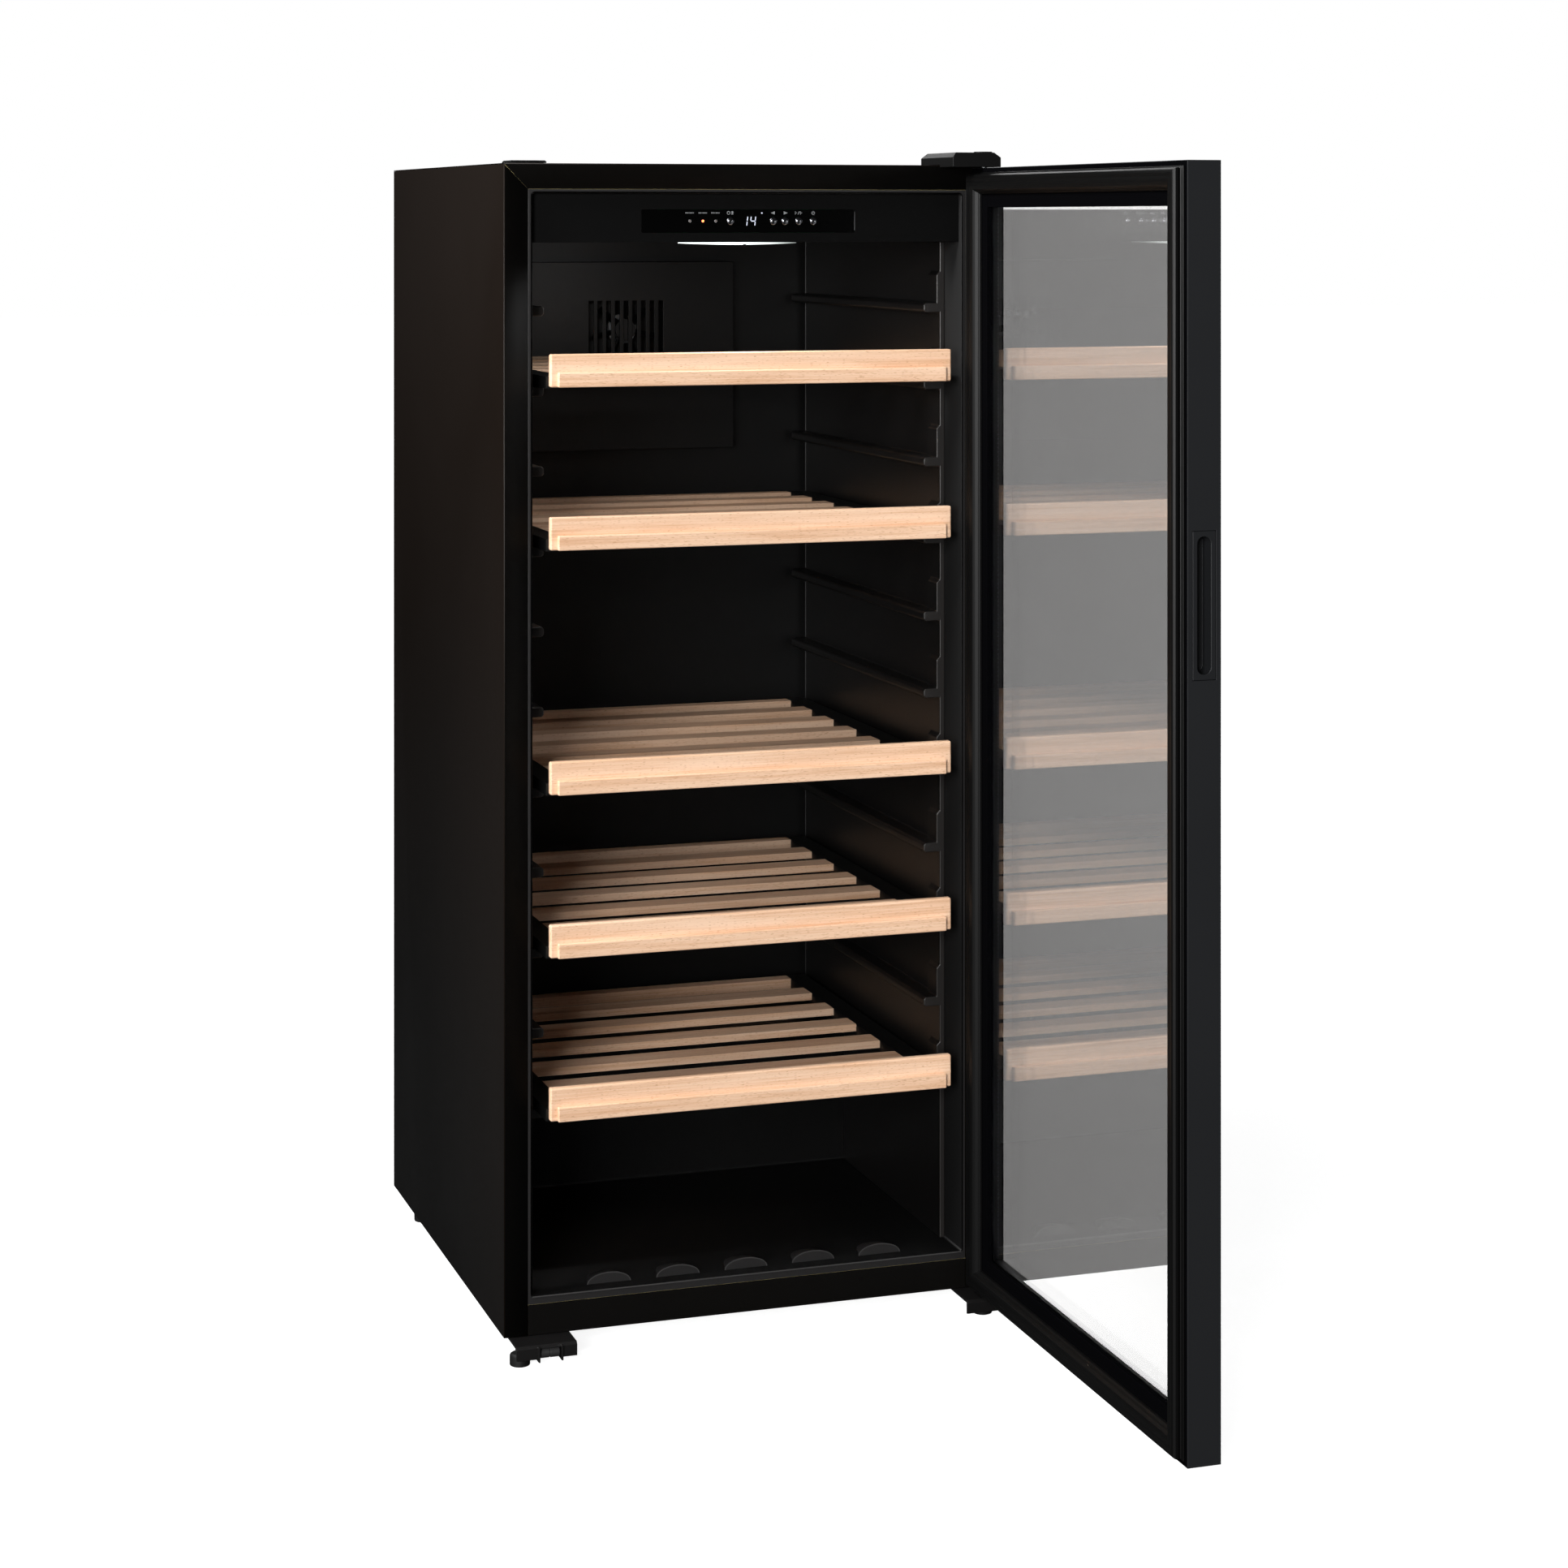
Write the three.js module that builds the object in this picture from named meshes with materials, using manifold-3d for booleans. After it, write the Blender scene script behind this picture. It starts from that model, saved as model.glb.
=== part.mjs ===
// A free-standing wine cooler with a glass door: steel case, moulded liner, beech shelves that
// slide out, a control panel with five buttons, and the cooling parts behind and below.
// Millimetres, +Z up. The door is hinged on the right and stands open at a right angle.
import * as THREE from 'three';
import { mergeVertices } from 'three/addons/utils/BufferGeometryUtils.js';
import Module from 'manifold-3d';

const wasm = await Module();
wasm.setup();

// ---------- driving dimensions ----------
const gap = 0.3; // clearance between neighbouring pieces

// case
const caseWidth = 595;
const caseDepth = 624;
const caseBottom = 25;
const caseHeight = 1345.5;
const sheet = 0.8;
const sideFlange = 28.1;
const topFlange = 29.5;
const railHeight = 35;
const railSheet = 1.2;
const railReturn = 20;

// liner
const lip = 5;
const linerWall = 2;
const linerFloorRise = 9.5; // floor above the front rail's top edge
const linerDepth = 575;
const stepDepth = 406; // front of the raised step at the back of the floor
const stepHeight = 185.5;
const bumpCount = 5;
const bumpPitch = 83.6;
const bumpWidth = 52.6;
const bumpHeight = 12.3;
const bumpFront = 21;
const bumpLength = 46;

// machine bay behind and under the liner's step
const foamUnderStep = 24;
const foamBehindStep = 22;

// shelf racks and shelves
const rackFront = 54;
const rackBack = 560;
const rackThickness = 6.5;
const ledgeCount = 11;
const firstLedgeDrop = 74.4; // from the fascia's lower edge to the first ledge
const lastLedgeRise = 14.6; // from the liner's step to the last ledge
const ledgeReach = 20.6;
const ledgeThickness = 11.6;
const ledgeChamfer = 2.5;
const stopReach = 4.1;
const stopHeight = 34;
const stopLength = 30;
const shelfLedges = [2, 4, 7, 9, 11];
const boardSideGap = 18; // liner wall to the end of a shelf's front board
const boardHeight = 38;
const boardLift = 2;
const boardThickness = 10;
const boardFront = -13.5; // front face of the board, ahead of the case's front
const bandHeight = 17;
const bandProud = 6;
const bandInset = 8;
const deckSideGap = 8.6; // rack panel to the edge of a deck
const deckBack = 540;
const runnerWidth = 26;
const runnerHeight = 14;
const slatCount = 6;
const slatWidth = 34;
const slatThickness = 9;
const backRailWidth = 20;
const shelfTravel = 280;

// control panel
const fasciaHeight = 57;
const fasciaSetback = 8;
const fasciaDepth = 62;
const fasciaWall = 3;
const windowWidth = 263;
const windowHeight = 27;
const windowDrop = 32.2; // mouth top to the middle of the window
const windowThickness = 3;
const buttonPlaces = { light: -23.4, up: 29.7, down: 44.2, units: 61.3, power: 79.3 };
const buttonRadius = 4.7;
const buttonBore = 5.2;
const buttonProud = 2.4;
const buttonStem = 5.5;
const buttonFlangeRadius = 6.2;
const buttonFlange = 1;
const buttonTravel = 0.8;
const lightPlaces = [-73, -57, -41.4];
const lightRadius = 1.5;
const lightGuideHeight = 4;
const lightGuideDepth = 2;
const boardWidth = 220;
const boardTall = 40;
const boardSheet = 1.6;
const digitPlace = 6.2;
const digitBlock = { width: 24, height: 15, depth: 5 };
const lampStart = -80;
const lampEnd = 60;
const lampFront = 14;
const lampDepth = 20;
const lampHeight = 4.2;

// air cover with fan and evaporator on the back wall
const airCover = { width: 300, height: 250, depth: 29, wall: 2, drop: 30 };
const airSlotCount = 9;
const airSlotWidth = 6;
const airSlotHeight = 76;
const airSlotPitch = 12;
const fanRadius = 45;
const fanWidth = 13;
const fanHubRadius = 14;
const fanBlades = 7;
const fanBladeTurn = 0.6;
const fanBladeSheet = 1.6;
const fanShaftGap = 1;
const fanMotorRadius = 20;
const fanMotorDepth = 7;
const fanRise = 160; // fan axis above the cover's lower edge
const evaporator = { width: 240, height: 80, depth: 18, rise: 14, fins: 16, fin: 3 };

// cooling parts in the machine bay
const compressor = { x: 150, radius: 68, height: 158, plate: 3, plateWidth: 190, plateDepth: 130 };
const grommetRadius = 11;
const grommetHeight = 9;
const terminalBox = { width: 46, depth: 26, height: 56, rise: 50 };
const coilTubeRadius = 3.2;
const coilBendRadius = 4;
const coilSocket = 2; // how far a straight tube runs into its bend
const coilRows = 4;
const coilPitch = 36;
const coilLength = 210;
const coilLeft = -262;
const coilLevels = 3;
const coilRise = 40;
const coilFront = 18; // bay wall to the first row
const coilFeet = 3;
const coilSides = 8;
const drier = { radius: 9, length: 90, neck: 3, x: 20, rise: 60 };
const tray = { width: 170, depth: 130, height: 22, wall: 1.8 };
const inlet = { width: 50, height: 30, depth: 22, x: -255, rise: 14, recess: 14, rim: 4 };

// feet, front brackets and hinge
const footRadius = 11.8;
const footPad = 14;
const footStemRadius = 5;
const footFrontSideInset = 14;
const footFrontY = -19;
const footRearSideInset = 22.5;
const footRearInset = 80;
const hingeInset = 14; // the pins' axis, in from the case's side
const hingeY = -24;
const pinRadius = 3;
const pinClearance = 0.3;
const pinDepth = 17.5;
const hingeFoot = { inset: 0.5, length: 43, reach: 45 }; // in from the case's side, and ahead of its front
const rollerFoot = { inset: 6.5, length: 71, reach: 35 };
const bracketBack = 55; // under the case
const bracketDrop = 15.7;
const bracketPlate = 3;
const bracketBrow = 4; // the lip that stays above the roller's window
const earInsets = [32.5, 59.5]; // in from the case's side
const earSheet = 2;
const earBottom = 6;
const earFront = -38;
const earBack = -8;
const rollerRadius = 6;
const rollerAxisHeight = 14.5;
const rollerY = -29;
const axleRadius = 1.5;
const hingePlate = { inset: 5.5, width: 52, back: 50, front: -32, thickness: 3 };
const hingeCover = { inset: 0.5, width: 61, back: 62, front: -45, height: 15.7, wall: 2, chamfer: 6 };
const coverSkirt = { clearance: 1, back: -1 }; // the cover's lower edge, over the door's top
const coverBossRadius = 11;
const coverBossHeight = 1.2;
const coverBossSink = 1;
const holeCap = { inset: 8.5, width: 43, front: 5, back: 46, height: 3, chamfer: 1.5 };

// door
const doorRestAngle = Math.PI / 2;
const doorBottomGap = 1.5; // above the case's lower edge
const doorTopGap = 3.5; // below the case's upper edge
const doorInner = -15; // the closed door's inner face, ahead of the case's front
const doorThickness = 38;
const frameWidth = 47;
const frameBorder = 13; // the flat border outside the splayed reveal
const outerPane = 4;
const innerPane = 4;
const innerPaneSet = 6.4; // behind the door's inner face
const spacerDepth = 12; // between the panes
const spacerWidth = 7.7;
const paneHold = 8; // how far the panes reach into the frame's groove
const gasketInset = 5.5;
const gasketFoot = { width: 26, height: 3.6 };
const gasketNeck = { width: 12, height: 3.4 };
const gasketBulb = { width: 19, height: 5.7 };
const handle = { drop: 460.8, length: 153, width: 26, depth: 22, slotLength: 141.6, slotWidth: 15.3 };
const handleFloor = 2;

const arcSteps = 5; // facets in a quarter turn or a short bend
const roundSteps = 20; // facets round a full turn

// ---------- places worked out from the driving dimensions ----------
const halfCase = caseWidth / 2;
const caseTop = caseBottom + caseHeight;
const mouthHalf = halfCase - sideFlange - gap - lip;
const mouthTop = caseTop - topFlange - lip;
const railTop = caseBottom + railHeight;
const linerFloor = railTop + linerFloorRise;
const stepTop = linerFloor + stepHeight;
const mouthBottom = railTop + lip + gap;
const insideSheet = halfCase - sheet - gap;
const bayFront = stepDepth + linerWall + gap + foamBehindStep;
const bayTop = stepTop - linerWall - gap - foamUnderStep;
const bayFloor = caseBottom + railSheet + gap;
const fasciaBottom = mouthTop - fasciaHeight;
const fasciaFront = fasciaSetback;
const windowMiddle = mouthTop - windowDrop;
const rackFace = mouthHalf - gap - rackThickness;
const rackTop = fasciaBottom - gap;
const firstLedge = fasciaBottom - firstLedgeDrop;
const ledgePitch = (firstLedge - stepTop - lastLedgeRise) / (ledgeCount - 1);
const ledgeTop = (k) => firstLedge - ledgePitch * (k - 1);
const boardHalf = mouthHalf - boardSideGap;
const deckHalf = rackFace - deckSideGap;
const coverTop = fasciaBottom - airCover.drop;
const coverBottom = coverTop - airCover.height;
const coverFront = linerDepth - gap - airCover.depth;
const fanMiddle = coverBottom + fanRise;
const hingeX = halfCase - hingeInset;
const bracketTop = caseBottom - gap;
const earPlaces = earInsets.map((inset) => halfCase - inset);
const doorBottom = caseBottom + doorBottomGap;
const doorTop = caseTop - doorTopGap;
const doorOuter = doorInner - doorThickness;
const paneInnerFace = doorInner - innerPaneSet;
const spacerInner = paneInnerFace - innerPane;
const spacerOuter = spacerInner - spacerDepth;
const paneOuterFace = spacerOuter - outerPane;
const openingHalf = halfCase - frameWidth;
const handleMiddle = caseTop - handle.drop;
const handleY = doorInner - doorThickness / 2;

// ---------- materials ----------
const finish = (color, roughness, metalness = 0, extra = {}) =>
  new THREE.MeshStandardMaterial({ color, roughness, metalness, ...extra });
const paintedSteel = finish('#221f1c', 0.45, 0.4);
const flangePaint = finish('#0f0e0f', 0.5, 0.3);
const galvanised = finish('#8b8f92', 0.4, 0.8);
const linerPlastic = finish('#353536', 0.55);
const foam = finish('#d8c88a', 0.95);
const texturedPlastic = finish('#131313', 0.65);
const blackPlastic = finish('#1a1a1a', 0.5);
const windowPlastic = finish('#050506', 0.08);
const chromed = finish('#c9ccd0', 0.18, 1);
const greenBoard = finish('#1f5a3a', 0.6);
const clearPlastic = finish('#f2f4f6', 0.3);
const copper = finish('#b87333', 0.3, 1);
const aluminium = finish('#b9bcc0', 0.35, 1);
const blackSteel = finish('#151515', 0.4, 0.5);
const beech = finish('#e8b98c', 0.6);
const tintedGlass = finish('#3a3d40', 0.05, 0, { transparent: true, opacity: 0.45 });
const gasketRubber = finish('#1e1c1a', 0.75);
const footRubber = finish('#161616', 0.8);

// ---------- shape helpers ----------
/** A solid from a closed geometry, with its shared vertices merged. */
function solid(geometry) {
  const bare = geometry.index ? geometry.toNonIndexed() : geometry.clone();
  bare.deleteAttribute('normal');
  bare.deleteAttribute('uv');
  const merged = mergeVertices(bare, 1e-4);
  return new wasm.Manifold(new wasm.Mesh({
    numProp: 3,
    vertProperties: new Float32Array(merged.attributes.position.array),
    triVerts: new Uint32Array(merged.index.array),
  }));
}

/** A geometry from a solid. */
function geometryOf(body) {
  const mesh = body.getMesh();
  const geometry = new THREE.BufferGeometry();
  geometry.setAttribute('position', new THREE.BufferAttribute(mesh.vertProperties, 3));
  geometry.setIndex(new THREE.BufferAttribute(mesh.triVerts, 1));
  geometry.computeVertexNormals();
  return geometry;
}

/** A block between two corners. */
function block([x0, y0, z0], [x1, y1, z1]) {
  const geometry = new THREE.BoxGeometry(x1 - x0, y1 - y0, z1 - z0);
  geometry.translate((x0 + x1) / 2, (y0 + y1) / 2, (z0 + z1) / 2);
  return solid(geometry);
}

/** An outline of [a, b] points pushed from one place to another along the axis named. */
function prism(points, axis, from, to) {
  const outline = points instanceof THREE.Shape
    ? points
    : new THREE.Shape(points.map(([a, b]) => new THREE.Vector2(a, b)));
  const geometry = new THREE.ExtrudeGeometry(outline, {
    depth: to - from, bevelEnabled: false, curveSegments: arcSteps,
  });
  geometry.translate(0, 0, from);
  if (axis === 'x') geometry.applyMatrix4(new THREE.Matrix4().set(0, 0, 1, 0, 1, 0, 0, 0, 0, 1, 0, 0, 0, 0, 0, 1));
  if (axis === 'y') geometry.applyMatrix4(new THREE.Matrix4().set(1, 0, 0, 0, 0, 0, -1, 0, 0, 1, 0, 0, 0, 0, 0, 1));
  return solid(geometry);
}

/** A profile pushed along Y: its points are [x, z], and it runs from y0 to y1. */
const prismY = (points, y0, y1) => prism(points, 'y', -y1, -y0);

/** A profile pushed along X: its points are [y, z]. */
const prismX = (points, x0, x1) => prism(points, 'x', x0, x1);

/** A profile pushed along Z: its points are [x, y]. */
const prismZ = (points, z0, z1) => prism(points, 'z', z0, z1);

/** A round bar along an axis, from one place to another. */
function bar(axis, radius, [a, b], from, to, steps = roundSteps) {
  const geometry = new THREE.CylinderGeometry(radius, radius, to - from, steps);
  if (axis === 'z') geometry.rotateX(Math.PI / 2).translate(a, b, (from + to) / 2);
  if (axis === 'y') geometry.translate(a, (from + to) / 2, b);
  if (axis === 'x') geometry.rotateZ(Math.PI / 2).translate((from + to) / 2, a, b);
  return solid(geometry);
}

/** A turned shape about Z from [radius, height] points that start and end on the axis. */
function turned(points, [x, y, z]) {
  const geometry = new THREE.LatheGeometry(points.map(([r, h]) => new THREE.Vector2(r, h)), roundSteps);
  geometry.rotateX(Math.PI / 2).translate(x, y, z);
  return solid(geometry);
}

/** A rectangle with round corners, centred on [a, b]. */
function roundedRectangle(width, height, radius, a = 0, b = 0) {
  const shape = new THREE.Shape();
  const [x, y] = [width / 2 - radius, height / 2 - radius];
  shape.moveTo(a + x + radius, b - y);
  shape.absarc(a + x, b + y, radius, 0, Math.PI / 2);
  shape.absarc(a - x, b + y, radius, Math.PI / 2, Math.PI);
  shape.absarc(a - x, b - y, radius, Math.PI, Math.PI * 1.5);
  shape.absarc(a + x, b - y, radius, Math.PI * 1.5, Math.PI * 2);
  return shape;
}

/** A tube along a straight or bent curve. */
function tube(curve, radius, steps) {
  const section = new THREE.Shape();
  section.absarc(0, 0, radius, 0, Math.PI * 2);
  return solid(new THREE.ExtrudeGeometry(section, {
    steps, extrudePath: curve, curveSegments: 4, bevelEnabled: false,
  }));
}

const join = (...solids) => solids.reduce((all, next) => all.add(next));
const range = (count) => [...Array(count).keys()];

/** A named mesh from a solid. */
function piece(name, body, material) {
  const mesh = new THREE.Mesh(geometryOf(body), material);
  mesh.name = name;
  return mesh;
}

// ---------- case ----------
/** One side: the sheet and its front flange, mitred at the top. side is -1 for left, 1 for right. */
function sidePanel(side) {
  const x = (inward) => side * (halfCase - inward);
  const top = caseTop - sheet - gap;
  const wall = block(
    [Math.min(x(0), x(sheet)), sheet, caseBottom],
    [Math.max(x(0), x(sheet)), caseDepth, top],
  );
  const flange = prismY([
    [x(0), caseBottom], [x(0), top], [x(sideFlange), top - topFlange + sheet], [x(sideFlange), caseBottom],
  ], 0, sheet);
  return wall.add(flange);
}

/** The top sheet with its front flange. */
function topPanel() {
  const plate = block([-halfCase, 0, caseTop - sheet], [halfCase, caseDepth, caseTop]);
  const low = caseTop - topFlange;
  const flange = prismY([
    [-halfCase, caseTop], [-halfCase, caseTop - sheet], [-halfCase + sideFlange, low],
    [halfCase - sideFlange, low], [halfCase, caseTop - sheet], [halfCase, caseTop],
  ], 0, sheet);
  return plate.add(flange);
}

const backPanel = () => block(
  [-insideSheet, caseDepth - sheet, bayTop + gap],
  [insideSheet, caseDepth, caseTop - sheet - gap],
);

/** The rail under the mouth, returned at its lower edge. */
function frontRail() {
  const half = halfCase - sideFlange - gap;
  const front = block([-half, 0, caseBottom], [half, railSheet, railTop]);
  return front.add(block([-half, 0, caseBottom], [half, railReturn, caseBottom + railSheet]));
}

const basePan = () => block(
  [-insideSheet, railReturn + gap, caseBottom],
  [insideSheet, caseDepth, caseBottom + railSheet],
);

const bayWall = () => block(
  [-insideSheet, bayFront + gap, bayFloor],
  [insideSheet, bayFront + gap + sheet, bayTop - sheet - gap],
);

const bayCeiling = () => block(
  [-insideSheet, bayFront + gap, bayTop - sheet],
  [insideSheet, caseDepth, bayTop],
);

// ---------- liner and insulation ----------
/** The cavity's side outline in [y, z], grown by some distance, open past the front. */
function cavityOutline(front, grow) {
  return [
    [front, linerFloor - grow], [stepDepth + grow, linerFloor - grow], [stepDepth + grow, stepTop - grow],
    [linerDepth + grow, stepTop - grow], [linerDepth + grow, mouthTop + grow], [front, mouthTop + grow],
  ];
}

/** One crescent bump on the floor, which stops a bottle from rolling. */
function floorBump(x) {
  const shape = new THREE.Shape();
  shape.absellipse(x, linerFloor, bumpWidth / 2, bumpHeight, 0, Math.PI);
  const whole = prism(shape, 'y', -(bumpFront + bumpLength), -bumpFront);
  const slope = prismX([
    [bumpFront, linerFloor - linerWall / 2], [bumpFront, linerFloor + bumpHeight],
    [bumpFront + bumpLength, linerFloor - linerWall / 2],
  ], x - bumpWidth, x + bumpWidth);
  const root = block(
    [x - bumpWidth / 2, bumpFront, linerFloor - linerWall / 2],
    [x + bumpWidth / 2, bumpFront + bumpLength, linerFloor],
  );
  return whole.add(root).intersect(slope);
}

/** The moulded liner: an open box with a step at the back, a front lip and floor bumps. */
function liner() {
  const outside = prismX(cavityOutline(0, linerWall), -mouthHalf - linerWall, mouthHalf + linerWall);
  const face = block(
    [-mouthHalf - lip, 0, railTop + gap],
    [mouthHalf + lip, linerWall, mouthTop + lip - gap],
  );
  const inside = prismX(cavityOutline(-lip, 0), -mouthHalf, mouthHalf);
  const bumps = range(bumpCount).map((i) => floorBump((i - (bumpCount - 1) / 2) * bumpPitch));
  return join(outside.add(face).subtract(inside), ...bumps);
}

/** The foam between the case and the liner. */
function insulation() {
  const front = linerWall + gap;
  const whole = block(
    [-insideSheet, front, bayFloor],
    [insideSheet, caseDepth - sheet - gap, caseTop - sheet - gap],
  );
  const cavity = linerWall + gap;
  const hollow = prismX(cavityOutline(-lip, cavity), -mouthHalf - cavity, mouthHalf + cavity);
  const bay = block([-halfCase, bayFront, 0], [halfCase, caseDepth, bayTop + gap]);
  const railRoom = block([-halfCase, 0, 0], [halfCase, railReturn + gap, caseBottom + railSheet + gap]);
  return whole.subtract(hollow).subtract(bay).subtract(railRoom);
}

// ---------- shelf racks ----------
/** The comb-like outline of a rack in [x, z] for the right side. */
function rackOutline() {
  const wall = mouthHalf - gap;
  const tip = rackFace - ledgeReach;
  const points = [[wall, linerFloor + gap], [wall, rackTop], [rackFace, rackTop]];
  for (const k of range(ledgeCount)) {
    const z = ledgeTop(k + 1);
    points.push([rackFace, z], [tip + ledgeChamfer, z], [tip, z - ledgeChamfer]);
    points.push([tip, z - ledgeThickness + ledgeChamfer], [tip + ledgeChamfer, z - ledgeThickness]);
    points.push([rackFace, z - ledgeThickness]);
  }
  points.push([rackFace, linerFloor + gap]);
  return points;
}

/** The stop that rises over a ledge's front end. */
function ledgeStop(z) {
  const face = rackFace - stopReach;
  return prismY([
    [rackFace + gap, z - gap], [rackFace + gap, z + stopHeight + stopReach],
    [rackFace, z + stopHeight + stopReach], [face, z + stopHeight], [face, z - gap],
  ], rackFront, rackFront + stopLength);
}

/** One side's moulded rack with its ledges. */
function shelfRack(side) {
  const comb = prismY(rackOutline(), rackFront, rackBack);
  const stops = range(ledgeCount).map((k) => ledgeStop(ledgeTop(k + 1)));
  const step = block([0, stepDepth - gap, 0], [halfCase, caseDepth, stepTop + gap]);
  const right = join(comb, ...stops).subtract(step);
  return side > 0 ? right : right.mirror([1, 0, 0]);
}

// ---------- control panel ----------
/** The fascia: a front wall with the window's opening, and a lower wall. */
function controlFascia() {
  const [x, y, z] = [mouthHalf - gap, fasciaFront, mouthTop - gap];
  const profile = [
    [y, fasciaBottom], [y + fasciaDepth, fasciaBottom], [y + fasciaDepth, fasciaBottom + fasciaWall],
    [y + fasciaWall, fasciaBottom + fasciaWall], [y + fasciaWall, z], [y, z],
  ];
  const opening = prismY(
    roundedRectangle(windowWidth + 2 * gap, windowHeight + 2 * gap, 2, 0, windowMiddle),
    y - fasciaWall, y + 2 * fasciaWall,
  );
  return prismX(profile, -x, x).subtract(opening);
}

/** The glossy window with holes for the buttons and indicator lights. */
function displayWindow() {
  const front = fasciaFront + gap;
  const plate = prismY(
    roundedRectangle(windowWidth, windowHeight, 2, 0, windowMiddle), front, front + windowThickness,
  );
  const through = [front - 1, front + windowThickness + 1];
  const bores = Object.values(buttonPlaces).map((x) => bar('y', buttonBore, [x, windowMiddle], ...through));
  const lights = lightPlaces.map((x) => bar('y', lightRadius + gap, [x, windowMiddle], ...through, 2 * arcSteps));
  return [...bores, ...lights].reduce((whole, hole) => whole.subtract(hole), plate);
}

/** A domed button with the flange that keeps it behind the window. */
function button(x) {
  const windowBack = fasciaFront + gap + windowThickness;
  const back = windowBack + gap + buttonStem;
  const flangeFront = back - (windowBack + gap);
  const nose = back - (fasciaFront - buttonProud);
  const profile = [
    [0, 0], [buttonRadius, 0], [buttonRadius, flangeFront - buttonFlange],
    [buttonFlangeRadius, flangeFront - buttonFlange], [buttonFlangeRadius, flangeFront],
    [buttonRadius, flangeFront], [buttonRadius, nose - 1.4], [buttonRadius * 0.7, nose - 0.4], [0, nose],
  ];
  const geometry = new THREE.LatheGeometry(profile.map(([r, h]) => new THREE.Vector2(r, h)), roundSteps);
  geometry.rotateX(Math.PI).translate(x, back, windowMiddle);
  return solid(geometry);
}

/** The light guide: one bar with a stub behind each indicator hole. */
function lightGuide() {
  const back = fasciaFront + gap + windowThickness + gap;
  const [first, last] = [lightPlaces[0], lightPlaces[lightPlaces.length - 1]];
  const beam = block(
    [first - lightGuideHeight, back, windowMiddle - lightGuideHeight / 2],
    [last + lightGuideHeight, back + lightGuideDepth, windowMiddle + lightGuideHeight / 2],
  );
  const stubs = lightPlaces.map((x) =>
    bar('y', lightRadius, [x, windowMiddle], fasciaFront, back + lightGuideDepth / 2, 2 * arcSteps));
  return join(beam, ...stubs);
}

/** The circuit board with its digit block. */
function controlBoard() {
  const stemBack = fasciaFront + windowThickness + 2 * gap + buttonStem;
  const front = stemBack + buttonTravel + gap;
  const board = block(
    [-boardWidth / 2, front, windowMiddle - boardTall / 2],
    [boardWidth / 2, front + boardSheet, windowMiddle + boardTall / 2],
  );
  const digits = block(
    [digitPlace - digitBlock.width / 2, front - digitBlock.depth, windowMiddle - digitBlock.height / 2],
    [digitPlace + digitBlock.width / 2, front + boardSheet / 2, windowMiddle + digitBlock.height / 2],
  );
  return board.add(digits);
}

const lampLens = () => block(
  [lampStart, lampFront, fasciaBottom - gap - lampHeight],
  [lampEnd, lampFront + lampDepth, fasciaBottom - gap],
);

// ---------- air cover, fan and evaporator ----------
/** The slotted cover over the fan and the evaporator. */
function fanCover() {
  const [half, back] = [airCover.width / 2, linerDepth - gap];
  const shell = block([-half, coverFront, coverBottom], [half, back, coverTop]).subtract(block(
    [-half + airCover.wall, coverFront + airCover.wall, coverBottom + airCover.wall],
    [half - airCover.wall, back + airCover.wall, coverTop - airCover.wall],
  ));
  const slots = range(airSlotCount).map((i) => {
    const x = (i - (airSlotCount - 1) / 2) * airSlotPitch;
    return block(
      [x - airSlotWidth / 2, coverFront - 1, fanMiddle - airSlotHeight / 2],
      [x + airSlotWidth / 2, coverFront + airCover.wall + 1, fanMiddle + airSlotHeight / 2],
    );
  });
  return slots.reduce((whole, slot) => whole.subtract(slot), shell);
}

/** The fan wheel: a hub with twisted blades, turning about Y. */
function fanRotor() {
  const front = coverFront + airCover.wall + fanShaftGap;
  const middle = front + fanWidth / 2;
  const hub = bar('y', fanHubRadius, [0, fanMiddle], front, front + fanWidth);
  const blades = range(fanBlades).map((i) => {
    const blade = new THREE.BoxGeometry(fanBladeSheet, fanWidth * 0.9, fanRadius - fanHubRadius / 2);
    blade.translate(0, 0, (fanRadius + fanHubRadius / 2) / 2);
    blade.rotateZ(fanBladeTurn);
    blade.rotateY((i / fanBlades) * Math.PI * 2);
    blade.translate(0, middle, fanMiddle);
    return solid(blade);
  });
  const room = bar('y', fanRadius + 1, [0, fanMiddle], front, front + fanWidth, roundSteps * 2);
  return join(hub, ...blades).intersect(room);
}

function fanMotor() {
  const back = linerDepth - 2 * gap;
  return bar('y', fanMotorRadius, [0, fanMiddle], back - fanMotorDepth, back);
}

/** The finned evaporator. */
function evaporatorBlock() {
  const [half, back] = [evaporator.width / 2, linerDepth - 2 * gap];
  const low = coverBottom + evaporator.rise;
  const core = block(
    [-half, back - evaporator.depth * 0.7, low + evaporator.height * 0.4],
    [half, back - evaporator.depth * 0.3, low + evaporator.height * 0.6],
  );
  const pitch = (evaporator.width - evaporator.fin) / (evaporator.fins - 1);
  const fins = range(evaporator.fins).map((i) => block(
    [-half + i * pitch, back - evaporator.depth, low],
    [-half + i * pitch + evaporator.fin, back, low + evaporator.height],
  ));
  return join(core, ...fins);
}

// ---------- machine bay ----------
const bayMiddle = () => (bayFront + caseDepth) / 2 + sheet;
const coilRow = (row) => bayFront + coilFront + row * coilPitch;
const coilLevel = (level) => bayFloor + coilRise / 2 + level * coilRise;
const coilPlateTop = coilLevel(coilLevels - 1) + coilRise / 4;

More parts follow.
